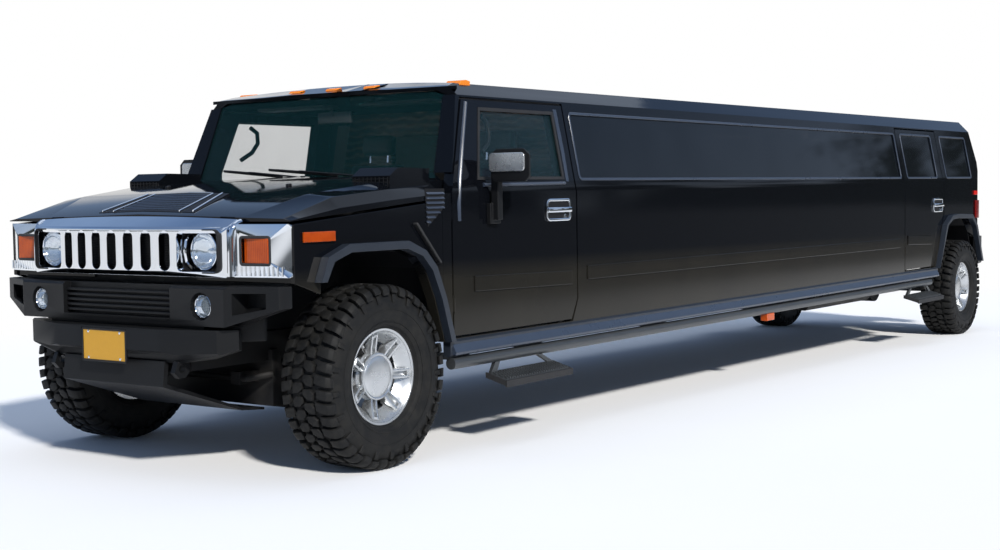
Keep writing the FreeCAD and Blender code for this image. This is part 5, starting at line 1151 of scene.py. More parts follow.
def rim_shape():
    """A seven-spoke cast rim about the Y axis, with its face towards positive Y."""
    rim = Shape().turned([(-0.1195, 0.2275), (-0.1060, 0.2278), (-0.1060, 0.2135), (-0.060, 0.2130),
                          (-0.030, 0.1980), (0.020, 0.1980), (0.050, 0.2130), (0.1060, 0.2135),
                          (0.1060, 0.2270), (0.1085, 0.2280), (0.1100, 0.2262), (0.1090, 0.2180),
                          (0.1020, 0.2110), (0.0700, 0.2050), (0.0300, 0.1900), (-0.030, 0.1880),
                          (-0.060, 0.2010), (-0.1195, 0.2020)], 96, closed=True)
    spokes, share = 7, 24
    steps = spokes * share
    dish = Shape().turned([(0.1045, 0.2130), (0.0980, 0.2060), (0.0800, 0.1930), (0.0600, 0.1790),
                           (0.0450, 0.1650), (0.0380, 0.1520), (0.0380, 0.1400), (0.0400, 0.1300),
                           (0.0440, 0.1200), (0.0520, 0.1140), (0.0520, 0.1000)], steps)
    holes = []
    for part in dish.bm.faces:
        middle = part.calc_center_median()
        radius = math.hypot(middle.x, middle.z)
        place = (math.atan2(middle.x, middle.z) % (math.tau / spokes)) / (math.tau / steps)
        if min(place, share - place) > 4.4 and 0.117 < radius < 0.163:
            holes.append(part)
    bmesh.ops.delete(dish.bm, geom=holes, context="FACES")
    bmesh.ops.recalc_face_normals(dish.bm, faces=dish.bm.faces)
    if sum(part.normal.y * part.calc_area() for part in dish.bm.faces) < 0:
        bmesh.ops.reverse_faces(dish.bm, faces=dish.bm.faces)
    bmesh.ops.solidify(dish.bm, geom=dish.bm.faces, thickness=0.013)
    rim.join(dish)
    spoke = Shape()
    rib = [(0.104, 0.034), (0.104, 0.074), (0.140, 0.082), (0.192, 0.1010), (0.2045, 0.1035), (0.2020, 0.096),
           (0.160, 0.048), (0.140, 0.034)]
    floor = [(0.104, 0.034), (0.104, 0.050), (0.140, 0.057), (0.188, 0.0760), (0.192, 0.080), (0.160, 0.048),
             (0.140, 0.034)]
    for side in (-1, 1):
        part = Shape().plate([(side * 0.0165 - 0.0062, y, r) for r, y in rib], (0.0124, 0, 0))
        part.bevel(0.0026, 2, 25)
        spoke.join(part)
    web = Shape().plate([(-0.0120, y, r) for r, y in floor], (0.0240, 0, 0))
    web.block((-0.0150, 0.080, 0.1900), (0.0150, 0.1015, 0.2030))
    web.bevel(0.0020, 1, 25)
    spoke.join(web)
    rim.join(spoke, *(Matrix.Rotation(step * math.tau / spokes, 4, "Y") for step in range(spokes)))
    rim.turned([(0.030, 0.0), (0.030, 0.104), (0.064, 0.1120), (0.0760, 0.1120), (0.0800, 0.1100),
                (0.0815, 0.1050), (0.0800, 0.1000), (0.0780, 0.0975), (0.0800, 0.0950), (0.0835, 0.0800),
                (0.0860, 0.0500), (0.0870, 0.0)], 72)
    rim.turned([(-0.020, 0.0), (-0.020, 0.092), (0.034, 0.098), (0.034, 0.0)], 48)
    valve = Shape().turned([(0.0, 0.0), (0.0, 0.0045), (0.020, 0.0045), (0.022, 0.003), (0.022, 0.0)], 10)
    rim.join(valve, Matrix.Rotation(math.tau / 14, 4, "Y") @ Matrix.Translation((0, 0.074, 0.188)))
    return rim


WHEELS = (
    ("front_left", "front_left_wheel", 0.0, 1),
    ("front_right", "front_right_wheel", 0.0, -1),
    ("rear_left", "rear_left_wheel", -1.0, 1),
    ("rear_right", "rear_right_wheel", -1.0, -1),
)


def wheel_place(back, side, turn):
    """From a wheel about the origin, with its face to positive Y, to its place in the row frame."""
    facing = Matrix() if side > 0 else OTHER_SIDE
    place = Matrix.Translation((SHIFT + back * WHEELBASE, side * TRACK_HALF, AXLE_Z))
    return place @ facing @ Matrix.Rotation(turn, 4, "Y")


class LIMOUSINE_OT_fit_tyres(bpy.types.Operator):
    """Fits four mud tyres with their lugs"""
    bl_idname = "limousine.fit_tyres"
    bl_label = "Fit the tyres"

    def execute(self, context):
        master = tyre_shape()
        for number, (corner, body, back, side) in enumerate(WHEELS):
            tyre = Shape().take(master, wheel_place(back, side, 0.05 * number))
            tyre.fit(f"tread_{corner}", body, "tyre_rubber", "tyre_rubber", Matrix(), (f"tyre_{corner}",),
                     outward=False)
        master.bm.free()
        return {"FINISHED"}


class LIMOUSINE_OT_fit_rims(bpy.types.Operator):
    """Fits four seven-spoke rims with plain hub caps"""
    bl_idname = "limousine.fit_rims"
    bl_label = "Fit the rims"

    def execute(self, context):
        master = rim_shape()
        for number, (corner, body, back, side) in enumerate(WHEELS):
            rim = Shape().take(master, wheel_place(back, side, 0.22 + 0.31 * number))
            rim.fit(f"wheel_{corner}", body, "cast_alloy", "rim_alloy", Matrix(), (f"rim_{corner}",),
                    outward=False)
        master.bm.free()
        return {"FINISHED"}


# Trim

class LIMOUSINE_OT_fit_bumper_details(bpy.types.Operator):
    """Fits the slats, the number plate and the bolts of the bumpers"""
    bl_idname = "limousine.fit_bumper_details"
    bl_label = "Fit the bumper details"

    def execute(self, context):
        slats = Shape()
        for step in range(5):
            z = 0.758 + step * 0.024
            slat = Shape().block((0.704, -0.371, z), (0.726, 0.371, z + 0.013))
            slat.bevel(0.004, 2)
            slats.join(slat)
        slats.fit("bumper_slats", "car_body", "grained_plastic", "bumper_plastic", weighted=True)
        carrier = Shape().plate([(0.64, -0.60, 0.640), (0.52, -0.74, 0.640), (0.50, -0.74, 0.640),
                                 (0.50, 0.74, 0.640), (0.52, 0.74, 0.640), (0.64, 0.60, 0.640)],
                                (0, 0, 0.150))
        carrier.bevel(0.006, 2)
        carrier.fit("bumper_carrier", "car_body", "frame_black", "frame_steel")
        plate = Shape().plate(rounded_across(0.8105, -0.150, 0.541, 0.150, 0.687, 0.010), (0.0035, 0, 0))
        plate.bevel(0.0010, 1)
        plate.fit("number_plate", "car_body", "plate_yellow", "bumper_plastic")
        holder = Shape().ring_plate(rounded_across(0.8100, -0.1555, 0.5355, 0.1555, 0.6915, 0.012), 0.0095,
                                    (0.0075, 0, 0))
        holder.bevel(0.0012, 1)
        holder.fit("plate_frame", "car_body", "plain_plastic", "dark_plastic")
        bolts = Shape()
        for y in (-0.110, 0.110):
            for z in (0.674, 0.553):
                bolt = Shape().turned([(0.0, 0.0), (0.0, 0.007), (0.0020, 0.0065), (0.0030, 0.004),
                                       (0.0032, 0.0)], 12, axis=(1, 0, 0))
                bolts.join(bolt, Matrix.Translation((0.8138, y, z)))
        bolts.fit("plate_bolts", "car_body", "bright_chrome", "chrome")
        return {"FINISHED"}


class LIMOUSINE_OT_fit_side_trim(bpy.types.Operator):
    """Fits the rub strips, window frames, door handles, louvres and latches of both sides"""
    bl_idname = "limousine.fit_side_trim"
    bl_label = "Fit the side trim"

    def execute(self, context):
        for side, mirror in SIDES:
            self.rub_strips(side, mirror)
            self.handles(side, mirror)
            self.frames(side, mirror)
            self.louvres(side, mirror)
        return {"FINISHED"}

    def rub_strips(self, side, mirror):
        for name, body, start, end in (
                ("door", f"front_{side}_door", -0.730, -1.640),
                ("saloon", "car_body", -1.806, -6.716),
                ("rear_door", f"rear_{side}_door", -6.905, -7.48)):
            strip = Shape().plate([(start, SIDE_FACE, 0.790), (start, SIDE_FACE, 0.870),
                                   (end, SIDE_FACE, 0.850), (end, SIDE_FACE, 0.772)], (0, 0.010, 0))
            strip.bevel(0.004, 2)
            strip.on_side(mirror).fit(f"rub_strip_{name}_{side}", body, "gloss_paint", "body_paint",
                                      weighted=True)

    def handles(self, side, mirror):
        for door, x, z in (("front", -1.510, 1.190), ("rear", -7.650, 1.115)):
            frame_part, cup = Shape(), Shape()
            frame_part.ring_plate(rounded_along(SIDE_FACE, x - 0.120, z - 0.062, x + 0.120, z + 0.062, 0.030),
                                  0.016, (0, 0.013, 0))
            frame_part.bevel(0.004, 2)
            bar = Shape().block((x - 0.114, 0.990, z - 0.015), (x + 0.114, 1.009, z + 0.015))
            bar.bevel(0.007, 3)
            frame_part.join(bar)
            lock = Shape().turned([(0.0, 0.0), (0.0, 0.013), (0.004, 0.012), (0.005, 0.0)], 20)
            frame_part.join(lock, Matrix.Translation((x - 0.070, 0.986, z - 0.036)))
            cup.plate(rounded_along(SIDE_FACE, x - 0.110, z - 0.054, x + 0.110, z + 0.054, 0.024),
                      (0, 0.002, 0))
            body = f"{door}_{side}_door"
            frame_part.on_side(mirror).fit(f"{door}_handle_{side}", body, "bright_chrome", "chrome")
            cup.on_side(mirror).fit(f"{door}_handle_cup_{side}", body, "plain_plastic", "dark_plastic")

    def frames(self, side, mirror):
        for name, body, start, end in (
                ("saloon", "car_body", -1.765, -6.790),
                ("quarter", "car_body", -7.930, -8.620),
                ("rear_door", f"rear_{side}_door", -6.945, -7.680)):
            ring = Shape().ring_plate(
                rounded_along(-0.004, end - 0.012, 1.350, start + 0.012, 1.736, 0.03, 3),
                0.015, (0, 0.009, 0))
            ring.lean_in()
            ring.bevel(0.002, 1)
            ring.on_side(mirror).fit(f"window_frame_{name}_{side}", body, "edge_strip", "dark_plastic")
        door = f"front_{side}_door"
        front, seal = Shape(), Shape()
        front.rod([(-0.612, -0.004, 1.150), (-0.608, -0.002, 1.240), (-0.636, 0.000, 1.360),
                   (-0.716, 0.000, 1.560), (-0.800, -0.002, 1.756)], 0.015, 12, 0.55)
        front.rod([(-1.632, -0.004, 1.345), (-1.632, 0.000, 1.500), (-1.622, 0.000, 1.745)], 0.016, 12, 0.55)
        front.rod([(-0.830, 0.000, 1.330), (-1.20, 0.004, 1.332), (-1.590, 0.000, 1.336)], 0.015, 12, 0.7)
        front.lean_in()
        seal.pierced([(-0.790, -0.004, 1.356), (-0.902, -0.004, 1.732), (-1.600, -0.004, 1.732),
                      (-1.600, -0.004, 1.356)], [[(-0.812, -0.004, 1.372), (-0.915, -0.004, 1.714),
                                                  (-1.582, -0.004, 1.714), (-1.582, -0.004, 1.372)]],
                     (0, 0.007, 0))
        seal.lean_in()
        front.on_side(mirror).fit(f"door_edges_{side}", door, "edge_strip", "body_paint")
        seal.on_side(mirror).fit(f"door_seal_{side}", door, "soft_rubber", "dark_plastic")
        head = Shape().rod([(-0.742, 0.862, 1.770), (-1.10, 0.862, 1.778), (-1.735, 0.862, 1.780)], 0.016, 8)
        head.on_side(mirror).fit(f"door_head_seal_{side}", "car_body", "soft_rubber", "dark_plastic")
        rocker = Shape().plate([(-0.52, SIDE_FACE, 0.562), (-0.52, 1.000, 0.552), (-0.52, 1.026, 0.500),
                                (-0.52, 1.022, 0.486), (-0.52, SIDE_FACE, 0.486)], (-7.07, 0, 0))
        rocker.bevel(0.004, 2, 20)
        rocker.on_side(mirror).fit(f"rocker_band_{side}", "car_body", "edge_strip", "cladding", weighted=True)

    def louvres(self, side, mirror):
        lower, slats = Shape(), Shape()
        lower.plate([(-0.340, SIDE_FACE, 1.314), (-0.494, SIDE_FACE, 1.314), (-0.494, SIDE_FACE, 1.222),
                     (-0.360, SIDE_FACE, 1.128)], (0, 0.0022, 0))
        for step in range(7):
            z = 1.146 + step * 0.0232
            rear = -0.368 - min(0.118, (z - 1.140) * 1.62)
            slat = Shape().plate([(rear, 0.985, z + 0.004), (rear, 0.996, z), (rear, 0.996, z + 0.005),
                                  (rear, 0.985, z + 0.013)], (-0.350 - rear, 0, 0))
            slat.bevel(0.0012, 1)
            slats.join(slat)
        lower.on_side(mirror).fit(f"fender_vent_{side}", "car_body", "plain_plastic", "dark_plastic")
        slats.on_side(mirror).fit(f"fender_vent_slats_{side}", "car_body", "edge_strip", "body_paint")
        latch = bar_between((-0.250, 0.996, 1.150), (-0.436, 0.996, 0.950), 0.014, 0.032)
        latch.bevel(0.006, 3)
        for step in range(7):
            share = 0.28 + step * 0.085
            x, z = -0.250 - 0.186 * share, 1.150 - 0.200 * share
            grip = bar_between((x - 0.006, 1.001, z + 0.006), (x + 0.006, 1.001, z - 0.006), 0.010, 0.010)
            grip.bevel(0.002, 1)
            latch.join(grip)
        latch.on_side(mirror).fit(f"hood_latch_{side}", "car_body", "soft_rubber", "dark_plastic")


class LIMOUSINE_OT_fit_mirrors(bpy.types.Operator):
    """Fits the mirror heads with their chrome inserts and glass"""
    bl_idname = "limousine.fit_mirrors"
    bl_label = "Fit the mirrors"

    def execute(self, context):
        for side, mirror in SIDES:
            softened(f"mirror_{side}", "grained_plastic", "dark_plastic", 0.020, steps=4, bend=self.slim)
            insert = Shape().plate(rounded_across(-0.826, 1.024, 1.394, 1.244, 1.490, 0.022), (0.010, 0, 0))
            insert.bevel(0.005, 3)
            insert.on_side(mirror).fit(f"mirror_insert_{side}", f"front_{side}_door", "cast_alloy", "chrome",
                                       weighted=True)
            pane = Shape().plate(rounded_across(-0.944, 1.056, 1.366, 1.176, 1.492, 0.016), (-0.0030, 0, 0))
            pane.on_side(mirror).fit(f"mirror_glass_{side}", f"front_{side}_door", "lamp_mirror", "chrome")
        return {"FINISHED"}

    def slim(self, point):
        """Draws the rear of the head in, so that its outer face slopes."""
        if point.x < -0.93 and abs(point.y) > 1.20 and point.z > 1.30:
            return Vector((point.x, point.y - math.copysign(0.075, point.y), point.z))
        return point


class LIMOUSINE_OT_fit_steps(bpy.types.Operator):
    """Rounds the side tubes and adds grips to the hoop steps"""
    bl_idname = "limousine.fit_steps"
    bl_label = "Fit the steps"

    def execute(self, context):
        softened("side_steps", "tube_grey", "tube_steel", 0.003, bend=self.hoops)
        grips, trays = Shape(), Shape()
        for middle in (FRONT_STEP, REAR_STEP):
            trays.block((middle - 0.300, 0.985, 0.3720), (middle + 0.300, 1.100, 0.3735))
            trays.block((middle - 0.312, 1.099, 0.3450), (middle + 0.312, 1.109, 0.3780))
            trays.block((middle - 0.312, 0.975, 0.3500), (middle - 0.303, 1.105, 0.3780))
            trays.block((middle + 0.303, 0.975, 0.3500), (middle + 0.312, 1.105, 0.3780))
            for row in range(5):
                for column in range(26):
                    x = middle - 0.292 + column * 0.0224 + (0.008 if row % 2 else 0.0)
                    y = 0.990 + row * 0.0210
                    grips.block((x, y, 0.3730), (x + 0.0110, y + 0.0140, 0.3850))
        for shape in (grips, trays):
            shape.bend(self.tilted)
            shape.both_sides()
        grips.fit("step_grips", "car_body", "tube_grey", "tube_steel")
        trays.fit("step_trays", "car_body", "soft_rubber", "dark_plastic")
        return {"FINISHED"}

    def tilted(self, point):
        """Lets the outer edge of a step hang lower than the inner one."""
        return Vector((point.x, point.y, point.z - 0.012 - 0.036 * (abs(point.y) - 0.975) / 0.13))

    def hoops(self, point):
        """Makes the hoop of each step longer and tilts it."""
        if point.z > 0.40 or abs(point.y) < 0.93:
            return point
        old, new = (-1.105, FRONT_STEP) if point.x > -3.0 else (REAR_STEP, REAR_STEP)
        return self.tilted(Vector((new + (point.x - old) * 1.38, point.y, point.z)))


def applied(pad):
    """Makes the result of an object's modifiers its mesh."""
    graph = bpy.context.evaluated_depsgraph_get()
    mesh = bpy.data.meshes.new_from_object(pad.evaluated_get(graph))
    pad.modifiers.clear()
    pad.data = mesh


def stuffed(low, high, travel, voxel, channels=(), depth=0.008):
    """A closed block that is blown up like a stuffed cushion, with sewn channels across its Y axis."""
    start = Shape().block(low, high)
    start.bevel(0.024, 3)
    mesh = bpy.data.meshes.new("pad")
    start.bm.to_mesh(mesh)
    start.bm.free()
    pad = bpy.data.objects.new("pad", mesh)
    scene = bpy.context.scene
    scene.collection.objects.link(pad)
    even = pad.modifiers.new("even", "REMESH")
    even.mode = "VOXEL"
    even.voxel_size = voxel
    applied(pad)
    before = [vert.co.copy() for vert in pad.data.vertices]
    cloth = pad.modifiers.new("swell", "CLOTH")
    cloth.settings.use_pressure = True
    cloth.settings.uniform_pressure_force = 4.0
    cloth.settings.effector_weights.gravity = 0.0
    cloth.settings.quality = 4
    cloth.point_cache.frame_start = 1
    cloth.point_cache.frame_end = 20
    for number in range(1, 21):
        scene.frame_set(number)
    applied(pad)
    scene.frame_set(1)
    for vert, place in zip(pad.data.vertices, before):
        moved = vert.co - place
        if moved.length > travel:
            vert.co = place + moved * (travel / moved.length)
    pad.modifiers.new("smooth", "SUBSURF").levels = 1
    applied(pad)
    form = Shape()
    form.bm.from_mesh(pad.data)
    form.bm.normal_update()
    for vert in form.bm.verts:
        press = sum(math.exp(-((vert.co.y - place) / 0.007) ** 2) for place in channels)
        vert.co -= vert.normal * depth * press
    bpy.data.objects.remove(pad)
    return form


class LIMOUSINE_OT_fit_seats(bpy.types.Operator):
    """Fits the stuffed front seats, the lounge and the rear bench"""
    bl_idname = "limousine.fit_seats"
    bl_label = "Fit the seats"

    def execute(self, context):
        self.front()
        self.lounge()
        return {"FINISHED"}

    def pads(self, name, form, places, replaces=()):
        made = Shape().join(form, *places).fit(name, "car_body", "leather_black", "seat_leather",
                                               replaces=replaces, crease=70.0)

    def pair(self, x, z, lean=Matrix()):
        """The same place in both front seats."""
        return [Matrix.Translation((x, 0.445 * side, z)) @ lean for side in (-1, 1)]

    def front(self):
        base = stuffed((-0.235, -0.225, -0.060), (0.235, 0.225, 0.060), 0.022, 0.012, (-0.140, 0.140))
        back = stuffed((-0.040, -0.210, -0.270), (0.040, 0.210, 0.270), 0.022, 0.012, (-0.130, 0.130))
        rest = stuffed((-0.034, -0.120, -0.060), (0.034, 0.120, 0.060), 0.014, 0.009)
        lean = Matrix.Rotation(math.radians(-7.5), 4, "Y")
        self.pads("front_seat_pads", base, self.pair(-1.400, 0.915), ("front_seats",))
        self.pads("front_back_pads", back, self.pair(-1.655, 1.215, lean))
        self.pads("head_rests", rest, self.pair(-1.700, 1.585, lean))
        posts, plinth = Shape(), Shape()
        for y in (0.375, 0.515):
            posts.rod([(-1.694, y, 1.48), (-1.702, y, 1.56)], 0.007, 10)
        plinth.block((-1.640, 0.250, 0.735), (-1.240, 0.640, 0.860))
        plinth.block((-1.700, 0.205, 0.830), (-1.180, 0.228, 0.900))
        plinth.block((-1.700, 0.662, 0.830), (-1.180, 0.685, 0.900))
        plinth.bevel(0.008, 2)
        for shape in (posts, plinth):
            shape.both_sides()
        posts.fit("head_rest_posts", "car_body", "bright_chrome", "chrome")
        plinth.fit("front_seat_plinths", "car_body", "cabin_trim", "dark_plastic")

    def lounge(self):
        """Eight places along the left side and two across the rear."""
        base = stuffed((-0.262, -0.190, -0.052), (0.262, 0.190, 0.052), 0.020, 0.018, (-0.065, 0.065))
        back = stuffed((-0.262, -0.036, -0.130), (0.262, 0.036, 0.130), 0.018, 0.018)
        lean = Matrix.Rotation(math.radians(-9), 4, "X")
        turn = Matrix.Rotation(math.radians(90), 4, "Z")
        along = [-2.148 - 0.5715 * (step + 0.5) for step in range(8)]
        across = (-0.31, 0.31)
        seats = [Matrix.Translation((x, 0.555, 0.985)) for x in along]
        seats += [Matrix.Translation((-8.365, y, 0.985)) @ turn for y in across]
        backs = [Matrix.Translation((x, 0.825, 1.175)) @ lean for x in along]
        backs += [Matrix.Translation((-8.630, y, 1.205)) @ turn @ lean for y in across]
        self.pads("lounge_pads", base, seats, ("lounge_seat",))
        self.pads("lounge_back_pads", back, backs)
        plinth = Shape().block((-6.720, 0.360, 0.735), (-2.148, 0.895, 0.925))
        plinth.block((-6.720, 0.862, 0.900), (-2.148, 0.897, 1.270))
        plinth.block((-8.700, -0.615, 0.735), (-8.170, 0.615, 0.925))
        plinth.block((-8.700, -0.615, 0.900), (-8.665, 0.615, 1.315))
        plinth.bevel(0.010, 2)
        plinth.fit("lounge_plinth", "car_body", "leather_black", "seat_leather")


class LIMOUSINE_OT_fit_cabin(bpy.types.Operator):
    """Fits the grab handles, the inner mirror and the sun visors"""
    bl_idname = "limousine.fit_cabin"
    bl_label = "Fit the cabin"

    def execute(self, context):
        grips, visors = Shape(), Shape()
        grips.rod([(-1.000, 0.845, 1.690), (-1.050, 0.842, 1.660), (-1.062, 0.850, 1.600),
                   (-1.030, 0.868, 1.545), (-0.950, 0.880, 1.500)], 0.013, 12)
        grips.both_sides()
        grips.fit("grab_handles", "car_body", "plain_plastic", "dark_plastic")
        visors.block((-0.990, 0.130, 1.770), (-0.850, 0.640, 1.788))
        visors.bevel(0.008, 3)
        visors.both_sides()
        glass = Shape().block((-0.816, -0.120, 1.676), (-0.792, 0.120, 1.742))
        glass.bevel(0.010, 3)
        glass.rod([(-0.796, 0.0, 1.720), (-0.762, 0.0, 1.775)], 0.008, 10)
        visors.join(glass)
        visors.fit("visors", "car_body", "cabin_trim", "dark_plastic")
        return {"FINISHED"}


class LIMOUSINE_OT_fit_rear(bpy.types.Operator):
    """Fits the liftgate's handle, blank plate, wiper, pane frame and high lamp, and the bumper's step pads"""
    bl_idname = "limousine.fit_rear"
    bl_label = "Fit the rear"

    def execute(self, context):
        rear = -BODY_REAR
        frame_part = Shape().ring_plate(rounded_across(0.004, -0.662, 1.338, 0.662, 1.702, 0.030), 0.018,
                                        (-0.010, 0, 0))
        frame_part.bevel(0.002, 1)
        frame_part.bend(self.leaning)
        frame_part.fit("gate_pane_frame", "liftgate", "soft_rubber", "dark_plastic")
        recess, plate, handle = Shape(), Shape(), Shape()
        recess.ring_plate(rounded_across(rear, -0.190, 0.925, 0.190, 1.105, 0.018), 0.016, (-0.010, 0, 0))
        recess.bevel(0.003, 2)
        recess.fit("rear_plate_recess", "liftgate", "plain_plastic", "dark_plastic")
        plate.plate(rounded_across(rear - 0.001, -0.152, 0.942, 0.152, 1.090, 0.010), (-0.0035, 0, 0))
        plate.bevel(0.001, 1)
        plate.fit("rear_number_plate", "liftgate", "plate_yellow", "bumper_plastic")
        handle.rod([(rear, -0.150, 1.160), (rear - 0.018, -0.140, 1.160), (rear - 0.018, 0.140, 1.160),
                    (rear, 0.150, 1.160)], 0.012, 12)
        handle.fit("gate_handle", "liftgate", "bright_chrome", "chrome")
        lamp = Shape().block((-0.014, -0.170, 1.716), (0.002, 0.170, 1.740))
        lamp.bevel(0.004, 2)
        lamp.bend(self.leaning)
        lamp.fit("high_brake_lamp", "liftgate", "lens_red", "red_lens")
        wiper = Shape().rod([(-0.010, 0.0, 1.352), (-0.026, 0.010, 1.372), (-0.022, 0.150, 1.440),
                             (-0.014, 0.260, 1.470)], 0.007, 8)
        wiper.rod([(-0.008, 0.060, 1.400), (-0.008, 0.420, 1.530)], 0.005, 8)
        wiper.bend(self.leaning)
        wiper.fit("rear_wiper", "liftgate", "plain_plastic", "dark_plastic")
        pads = Shape()
        for low, high in ((-0.780, -0.260), (0.260, 0.780), (-0.240, 0.240)):
            pad = Shape().block((-9.128, low, 0.792), (-8.975, high, 0.800))
            pad.bevel(0.003, 1)
            for step in range(7):
                pad.block((-9.122 + step * 0.021, low + 0.012, 0.799),
                          (-9.113 + step * 0.021, high - 0.012, 0.803))
            pads.join(pad)
        pads.fit("rear_step_pads", "car_body", "soft_rubber", "bumper_plastic")
        return {"FINISHED"}

    def leaning(self, point):
        """From a height and a distance off the rear face to the leaning upper part of it."""
        return Vector((point.x - BODY_REAR + 0.130 * max(0.0, point.z - 1.300) / 0.462, point.y, point.z))


class LIMOUSINE_OT_fit_wipers(bpy.types.Operator):
    """Fits two wipers at the windshield's foot"""
    bl_idname = "limousine.fit_wipers"
    bl_label = "Fit the wipers"

    def execute(self, context):
        wipers = Shape()
        for near, far, pivot in ((0.27, -0.24, 0.10), (-0.12, -0.62, -0.30)):
            line = [(t, near + (far - near) * t / 8, 1.386 + 0.040 * t / 8) for t in range(9)]
            wipers.rod([on_windshield(y, z, 0.010) for t, y, z in line], 0.0045, 6, 1.6)
            spine = [on_windshield(y, z, 0.018 + 0.008 * math.sin(math.pi * t / 8)) for t, y, z in line[1:8]]
            wipers.rod(spine, 0.005, 6)
            arm = [on_windshield(pivot + 0.34, 1.376, 0.020), on_windshield(pivot + 0.22, 1.384, 0.032),
                   on_windshield((near + far) / 2, 1.408, 0.030)]
            wipers.rod(arm, 0.008, 8, 0.6)
            hub = Shape().turned([(0.0, 0.0), (0.0, 0.020), (0.022, 0.017), (0.026, 0.010), (0.026, 0.0)],
                                 20, axis=(0, 0, 1))
            place = on_windshield(pivot + 0.34, 1.372, 0.014)
            wipers.join(hub, Matrix.Translation(place - Vector((0, 0, 0.010))))
        wipers.fit("wipers", "car_body", "plain_plastic", "dark_plastic")
        return {"FINISHED"}


# Stage

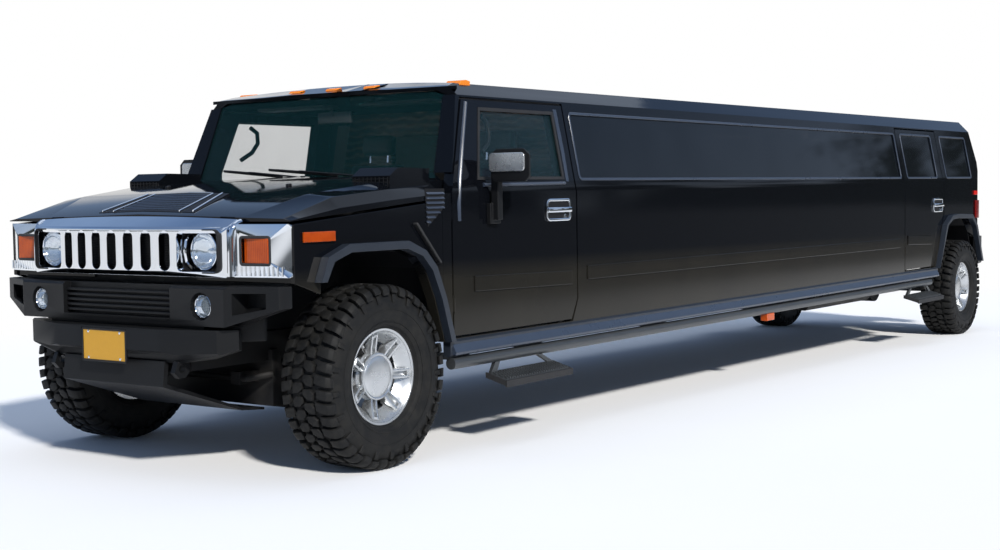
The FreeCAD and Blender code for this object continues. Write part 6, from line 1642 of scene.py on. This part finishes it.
class LIMOUSINE_OT_set_stage(bpy.types.Operator):
    """Sets the floor, the soft lights and the camera"""
    bl_idname = "limousine.set_stage"
    bl_label = "Set the stage"

    def execute(self, context):
        scene = context.scene
        bm = bmesh.new()
        bmesh.ops.create_grid(bm, x_segments=2, y_segments=2, size=400.0)
        mesh = bpy.data.meshes.new("studio_floor")
        bm.to_mesh(mesh)
        bm.free()
        mesh.materials.append(finish_named("pale_floor"))
        floor = bpy.data.objects.new("studio_floor", mesh)
        scene.collection.objects.link(floor)
        self.world(scene)
        self.panel("overhead_panel", (-1.0, -0.5, 8.0), 16.0, 7.0, settings().key_strength, (0.86, 0.93, 1.0))
        self.sun("sun", (0.42, 0.72, 0.55), settings().sun_strength)
        self.camera(scene)
        scene.view_settings.view_transform = "Standard"
        return {"FINISHED"}

    def world(self, scene):
        """A clear sky over a line of trees, and plain white behind the limousine as the camera sees it."""
        scene.world = bpy.data.worlds.new("studio_air")
        air = Nodes(scene.world)
        where = air.node("ShaderNodeTexCoord", out="Generated")
        across, along, up = (air.node("ShaderNodeSeparateXYZ", {}, {0: where}, out=part) for part in range(3))
        sky = air.ramp(up, (0.0, (0.46, 0.52, 0.60)), (0.08, (0.42, 0.50, 0.62)), (0.28, (0.26, 0.38, 0.60)),
                       (0.55, (0.12, 0.20, 0.37)), (1.0, (0.22, 0.28, 0.40)))
        leaves = air.node("ShaderNodeTexNoise", {}, {
            "Vector": where, "Scale": 9.0, "Detail": 9.0, "Roughness": 0.62})
        taller = ((across * -1.0 - 0.90) * 22.0).clamped() * 0.15
        crown = ((leaves * 0.85 - 0.32 + taller - up) * 16.0).clamped()
        wooded = air.blend(crown, sky, (0.030, 0.036, 0.034))
        behind = ((across * -0.813 + along * -0.582 - 0.80) * 9.0).clamped()
        low = ((0.26 - up) * 10.0).clamped()
        backdrop = air.blend(behind * low, wooded, (1.0, 1.0, 1.0))
        light = air.node("ShaderNodeBackground", {}, {0: backdrop, 1: 1.0})
        air.node("ShaderNodeOutputWorld", {}, {0: light}, out=None)

    def panel(self, name, place, wide, deep, power, colour):
        lamp = bpy.data.lights.new(name, "AREA")
        lamp.shape = "RECTANGLE"
        lamp.size = wide
        lamp.size_y = deep
        lamp.energy = power
        lamp.color = colour
        made = bpy.data.objects.new(name, lamp)
        bpy.context.scene.collection.objects.link(made)
        made.location = place

    def sun(self, name, way, strength):
        lamp = bpy.data.lights.new(name, "SUN")
        lamp.energy = strength
        lamp.angle = math.radians(5.0)
        lamp.color = (1.0, 0.97, 0.92)
        made = bpy.data.objects.new(name, lamp)
        bpy.context.scene.collection.objects.link(made)
        made.rotation_mode = "QUATERNION"
        made.rotation_quaternion = Vector(way).to_track_quat("Z", "Y")

    def camera(self, scene):
        lens = bpy.data.cameras.new("studio_camera")
        lens.sensor_width = 36.0
        lens.lens = 52.787
        lens.shift_x = 0.0002
        lens.shift_y = -0.0004
        made = bpy.data.objects.new("studio_camera", lens)
        scene.collection.objects.link(made)
        yaw, pitch, roll = (math.radians(item) for item in (35.61, 2.77, -0.47))
        ahead = Vector((-math.cos(yaw) * math.cos(pitch), -math.sin(yaw) * math.cos(pitch), -math.sin(pitch)))
        right = ahead.cross(Vector((0, 0, 1))).normalized()
        up = right.cross(ahead)
        level = math.cos(roll) * right + math.sin(roll) * up
        top = -math.sin(roll) * right + math.cos(roll) * up
        made.matrix_world = Matrix.Translation((5.241 + SHIFT, 5.416, 1.242)) @ Matrix(
            (level, top, -ahead)).transposed().to_4x4()
        scene.camera = made


class LIMOUSINE_PT_panel(bpy.types.Panel):
    """Lists the limousine's steps and settings"""
    bl_idname = "LIMOUSINE_PT_panel"
    bl_label = "Limousine"
    bl_space_type = "VIEW_3D"
    bl_region_type = "UI"
    bl_category = "Limousine"

    def draw(self, context):
        for name in LimousineSettings.__annotations__:
            self.layout.prop(context.scene.limousine, name)
        for step in STEPS:
            self.layout.operator(step.bl_idname)


STEPS = (
    LIMOUSINE_OT_finish_chassis,
    LIMOUSINE_OT_round_panels,
    LIMOUSINE_OT_shape_hood,
    LIMOUSINE_OT_fit_grille,
    LIMOUSINE_OT_fit_headlamps,
    LIMOUSINE_OT_fit_markers,
    LIMOUSINE_OT_fit_glass,
    LIMOUSINE_OT_fit_tyres,
    LIMOUSINE_OT_fit_rims,
    LIMOUSINE_OT_fit_bumper_details,
    LIMOUSINE_OT_fit_side_trim,
    LIMOUSINE_OT_fit_mirrors,
    LIMOUSINE_OT_fit_steps,
    LIMOUSINE_OT_fit_wipers,
    LIMOUSINE_OT_fit_seats,
    LIMOUSINE_OT_fit_cabin,
    LIMOUSINE_OT_fit_rear,
    LIMOUSINE_OT_set_stage,
)


def register():
    bpy.utils.register_class(LimousineSettings)
    for step in STEPS:
        bpy.utils.register_class(step)
    bpy.utils.register_class(LIMOUSINE_PT_panel)
    bpy.types.Scene.limousine = PointerProperty(type=LimousineSettings)


def unregister():
    del bpy.types.Scene.limousine
    bpy.utils.unregister_class(LIMOUSINE_PT_panel)
    for step in reversed(STEPS):
        bpy.utils.unregister_class(step)
    bpy.utils.unregister_class(LimousineSettings)


def main():
    register()
    for step in STEPS:
        area, name = step.bl_idname.split(".")
        getattr(getattr(bpy.ops, area), name)()


if __name__ == "__main__":
    main()
